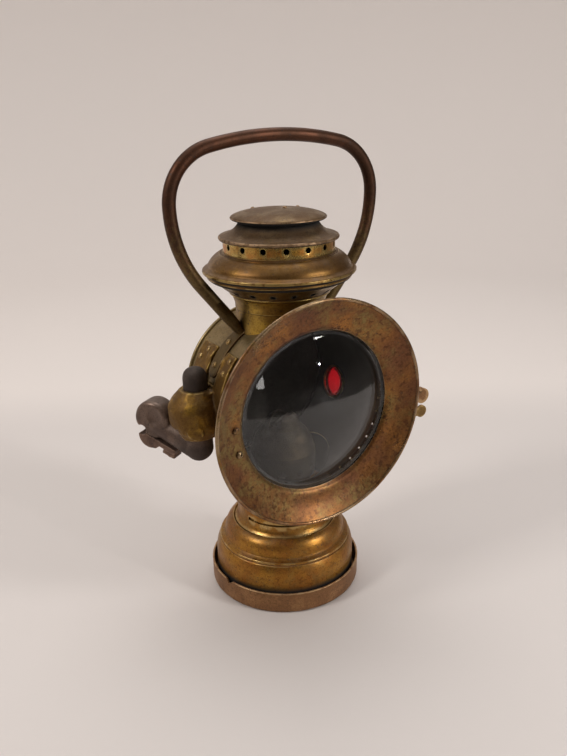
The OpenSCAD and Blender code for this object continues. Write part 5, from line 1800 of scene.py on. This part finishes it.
@dataclass
class Studio:
    """Pale floor and sweep, painted dark past the table's edges, soft lights and the camera."""

    eye: tuple[float, float, float] = (-196.62, -348.24, 280.7)
    right: tuple[float, float, float] = (0.865937, -0.499845, -0.017552)
    up: tuple[float, float, float] = (0.189665, 0.295701, 0.936263)
    forward: tuple[float, float, float] = (0.462797, 0.814074, -0.350861)
    focal_px: float = 730.0
    tall_px: float = 756.0
    bowl_r: float = 1500.0
    bowl_bend: float = 600.0
    bowl_h: float = 2300.0
    wall_from: float = 250.0
    table_edge: float = 435.0
    table_side: float = 500.0
    table_soft: float = 12.0
    wall_soft: tuple[float, float] = (40.0, 90.0)
    front_slant: float = 0.33
    side_slant: float = 0.2
    table: Colour = (0.7, 0.655, 0.63)
    wall: Colour = (0.81, 0.755, 0.72)
    # painted shade of the unlit room beyond the table
    painted_dark_room: Colour = (0.15, 0.135, 0.125)
    air: Colour = (0.93, 0.9, 0.88)
    air_power: float = 0.62

    def sweep(self) -> None:
        """A round floor that bends up into a wall all round, painted dark past the table's front and right edges as
        the shade of an unlit room.
        """
        line = [(0.0, 0.0), (100.0, 0.0), (300.0, 0.0), (600.0, 0.0)]
        line += arc((self.bowl_r - self.bowl_bend, self.bowl_bend), self.bowl_bend, -90, 0, 20)
        line += [(self.bowl_r, self.bowl_h)]
        bm = bmesh.new()
        turn_into(bm, line, Axis.STACK, 96, 0.0, False, 0.0)
        bmesh.ops.translate(bm, verts=bm.verts, vec=Vector((0, 0, -0.02 * MM)))
        floor = from_bmesh("studio_floor", bm)
        mat, g, shader = new_material("studio_paper")
        place = g.place()
        cut = g.split(place)
        flat = Vector((self.forward[0], self.forward[1], 0)).normalized()
        back = g.plus(g.times(cut[0], flat.x), g.times(cut[1], flat.y))
        side = g.minus(g.times(cut[0], flat.y), g.times(cut[1], flat.x))
        wall = g.ramp(back, (self.wall_from - self.wall_soft[0]) * MM, (self.wall_from + self.wall_soft[1]) * MM)
        front = g.minus(back, g.times(side, self.front_slant))
        far = g.minus(side, g.times(back, self.side_slant))
        past_front = g.ramp(front, -self.table_edge * MM, -(self.table_edge + self.table_soft) * MM)
        past_side = g.ramp(far, self.table_side * MM, (self.table_side + self.table_soft) * MM)
        colour = g.blend(wall, self.table, self.wall)
        # painted shade: the sweep past the table's front and right edges is dark to stand for an unlit room in the
        # reflections
        colour = g.blend(g.calc("MAXIMUM", past_front, past_side), colour, self.painted_dark_room)
        g.feed(shader.inputs["Base Color"], colour)
        grain = g.spots(place, 700.0, 4.0)
        g.feed(shader.inputs["Normal"], g.add("Bump", {"Distance": 0.00005, "Height": grain}).outputs[0])
        shader.inputs["Roughness"].default_value = 0.6
        shader.inputs["Specular IOR Level"].default_value = 0.25
        floor.data.materials.append(mat)

    def light(self, name: str, place: tuple[float, float, float], size: tuple[float, float], watts: float,
              tint: Colour) -> None:
        """Hangs a soft light that points at the lamp.

        Args:
            name: its name.
            place: how far right, forward and up of the lamp, in mm.
            size: its width and height, in mm.
            watts: its power.
            tint: its colour.
        """
        data = bpy.data.lights.new(name, "AREA")
        data.shape, data.energy, data.color = "RECTANGLE", watts, tint
        data.size, data.size_y = size[0] * MM, size[1] * MM
        lamp = bpy.data.objects.new(name, data)
        bpy.context.scene.collection.objects.link(lamp)
        r = Vector((self.right[0], self.right[1], 0)).normalized()
        f = Vector((self.forward[0], self.forward[1], 0)).normalized()
        where = (r * place[0] + f * place[1] + Vector((0, 0, place[2]))) * MM
        lamp.location = where
        lamp.rotation_mode = "QUATERNION"
        lamp.rotation_quaternion = (where - Vector((0, 0, 0.13))).to_track_quat("Z", "Y")

    def camera(self) -> None:
        """Sets the camera at the photograph's view."""
        data = bpy.data.cameras.new("view")
        data.lens = self.focal_px / self.tall_px * SENSOR
        data.sensor_width, data.sensor_fit = SENSOR, "AUTO"
        data.clip_start, data.clip_end = 0.01, 20.0
        cam = bpy.data.objects.new("view", data)
        bpy.context.scene.collection.objects.link(cam)
        axes = [Vector(self.right), Vector(self.up), -Vector(self.forward)]
        turn = Matrix([[a[k] for a in axes] for k in range(3)]).to_4x4()
        cam.matrix_world = Matrix.Translation(Vector(self.eye) * MM) @ turn
        bpy.context.scene.camera = cam

    def build(self) -> None:
        """Makes the whole studio."""
        self.sweep()
        for name, place, size, watts, tint in (
                ("overhead", (0, 500, 1500), (1200, 1000), 9.2, WARM_WHITE),
                ("window_left", (-820, -420, 860), (220, 260), 4.2, (1.0, 0.96, 0.92)),
                ("window_right", (930, -420, 680), (200, 260), 4.2, WARM_WHITE),
                ("doorway", (350, -1100, 250), (80, 200), 0.22, WARM_WHITE),
                ("low_lamp", (924, -572, 290), (12, 12), 1.7, WARM_WHITE)):
            self.light(name, place, size, watts, tint)
        world = bpy.data.worlds.new("room")
        world.use_nodes = True
        inputs = world.node_tree.nodes["Background"].inputs
        inputs[0].default_value, inputs[1].default_value = (*self.air, 1.0), self.air_power
        bpy.context.scene.world = world
        bpy.context.scene.view_settings.view_transform = "Standard"
        self.camera()


def main() -> None:
    """Builds and finishes every sub-assembly in order."""
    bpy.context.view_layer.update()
    shop = Workshop()
    studio = Studio()
    for part in (FontAssembly(), DrumAssembly(), DoorAssembly(), Ventilator(), Bail(), Bracket()):
        log.info("building %s", type(part).__name__)
        part.build(shop)
    studio.build()


if __name__ == "__main__":
    main()
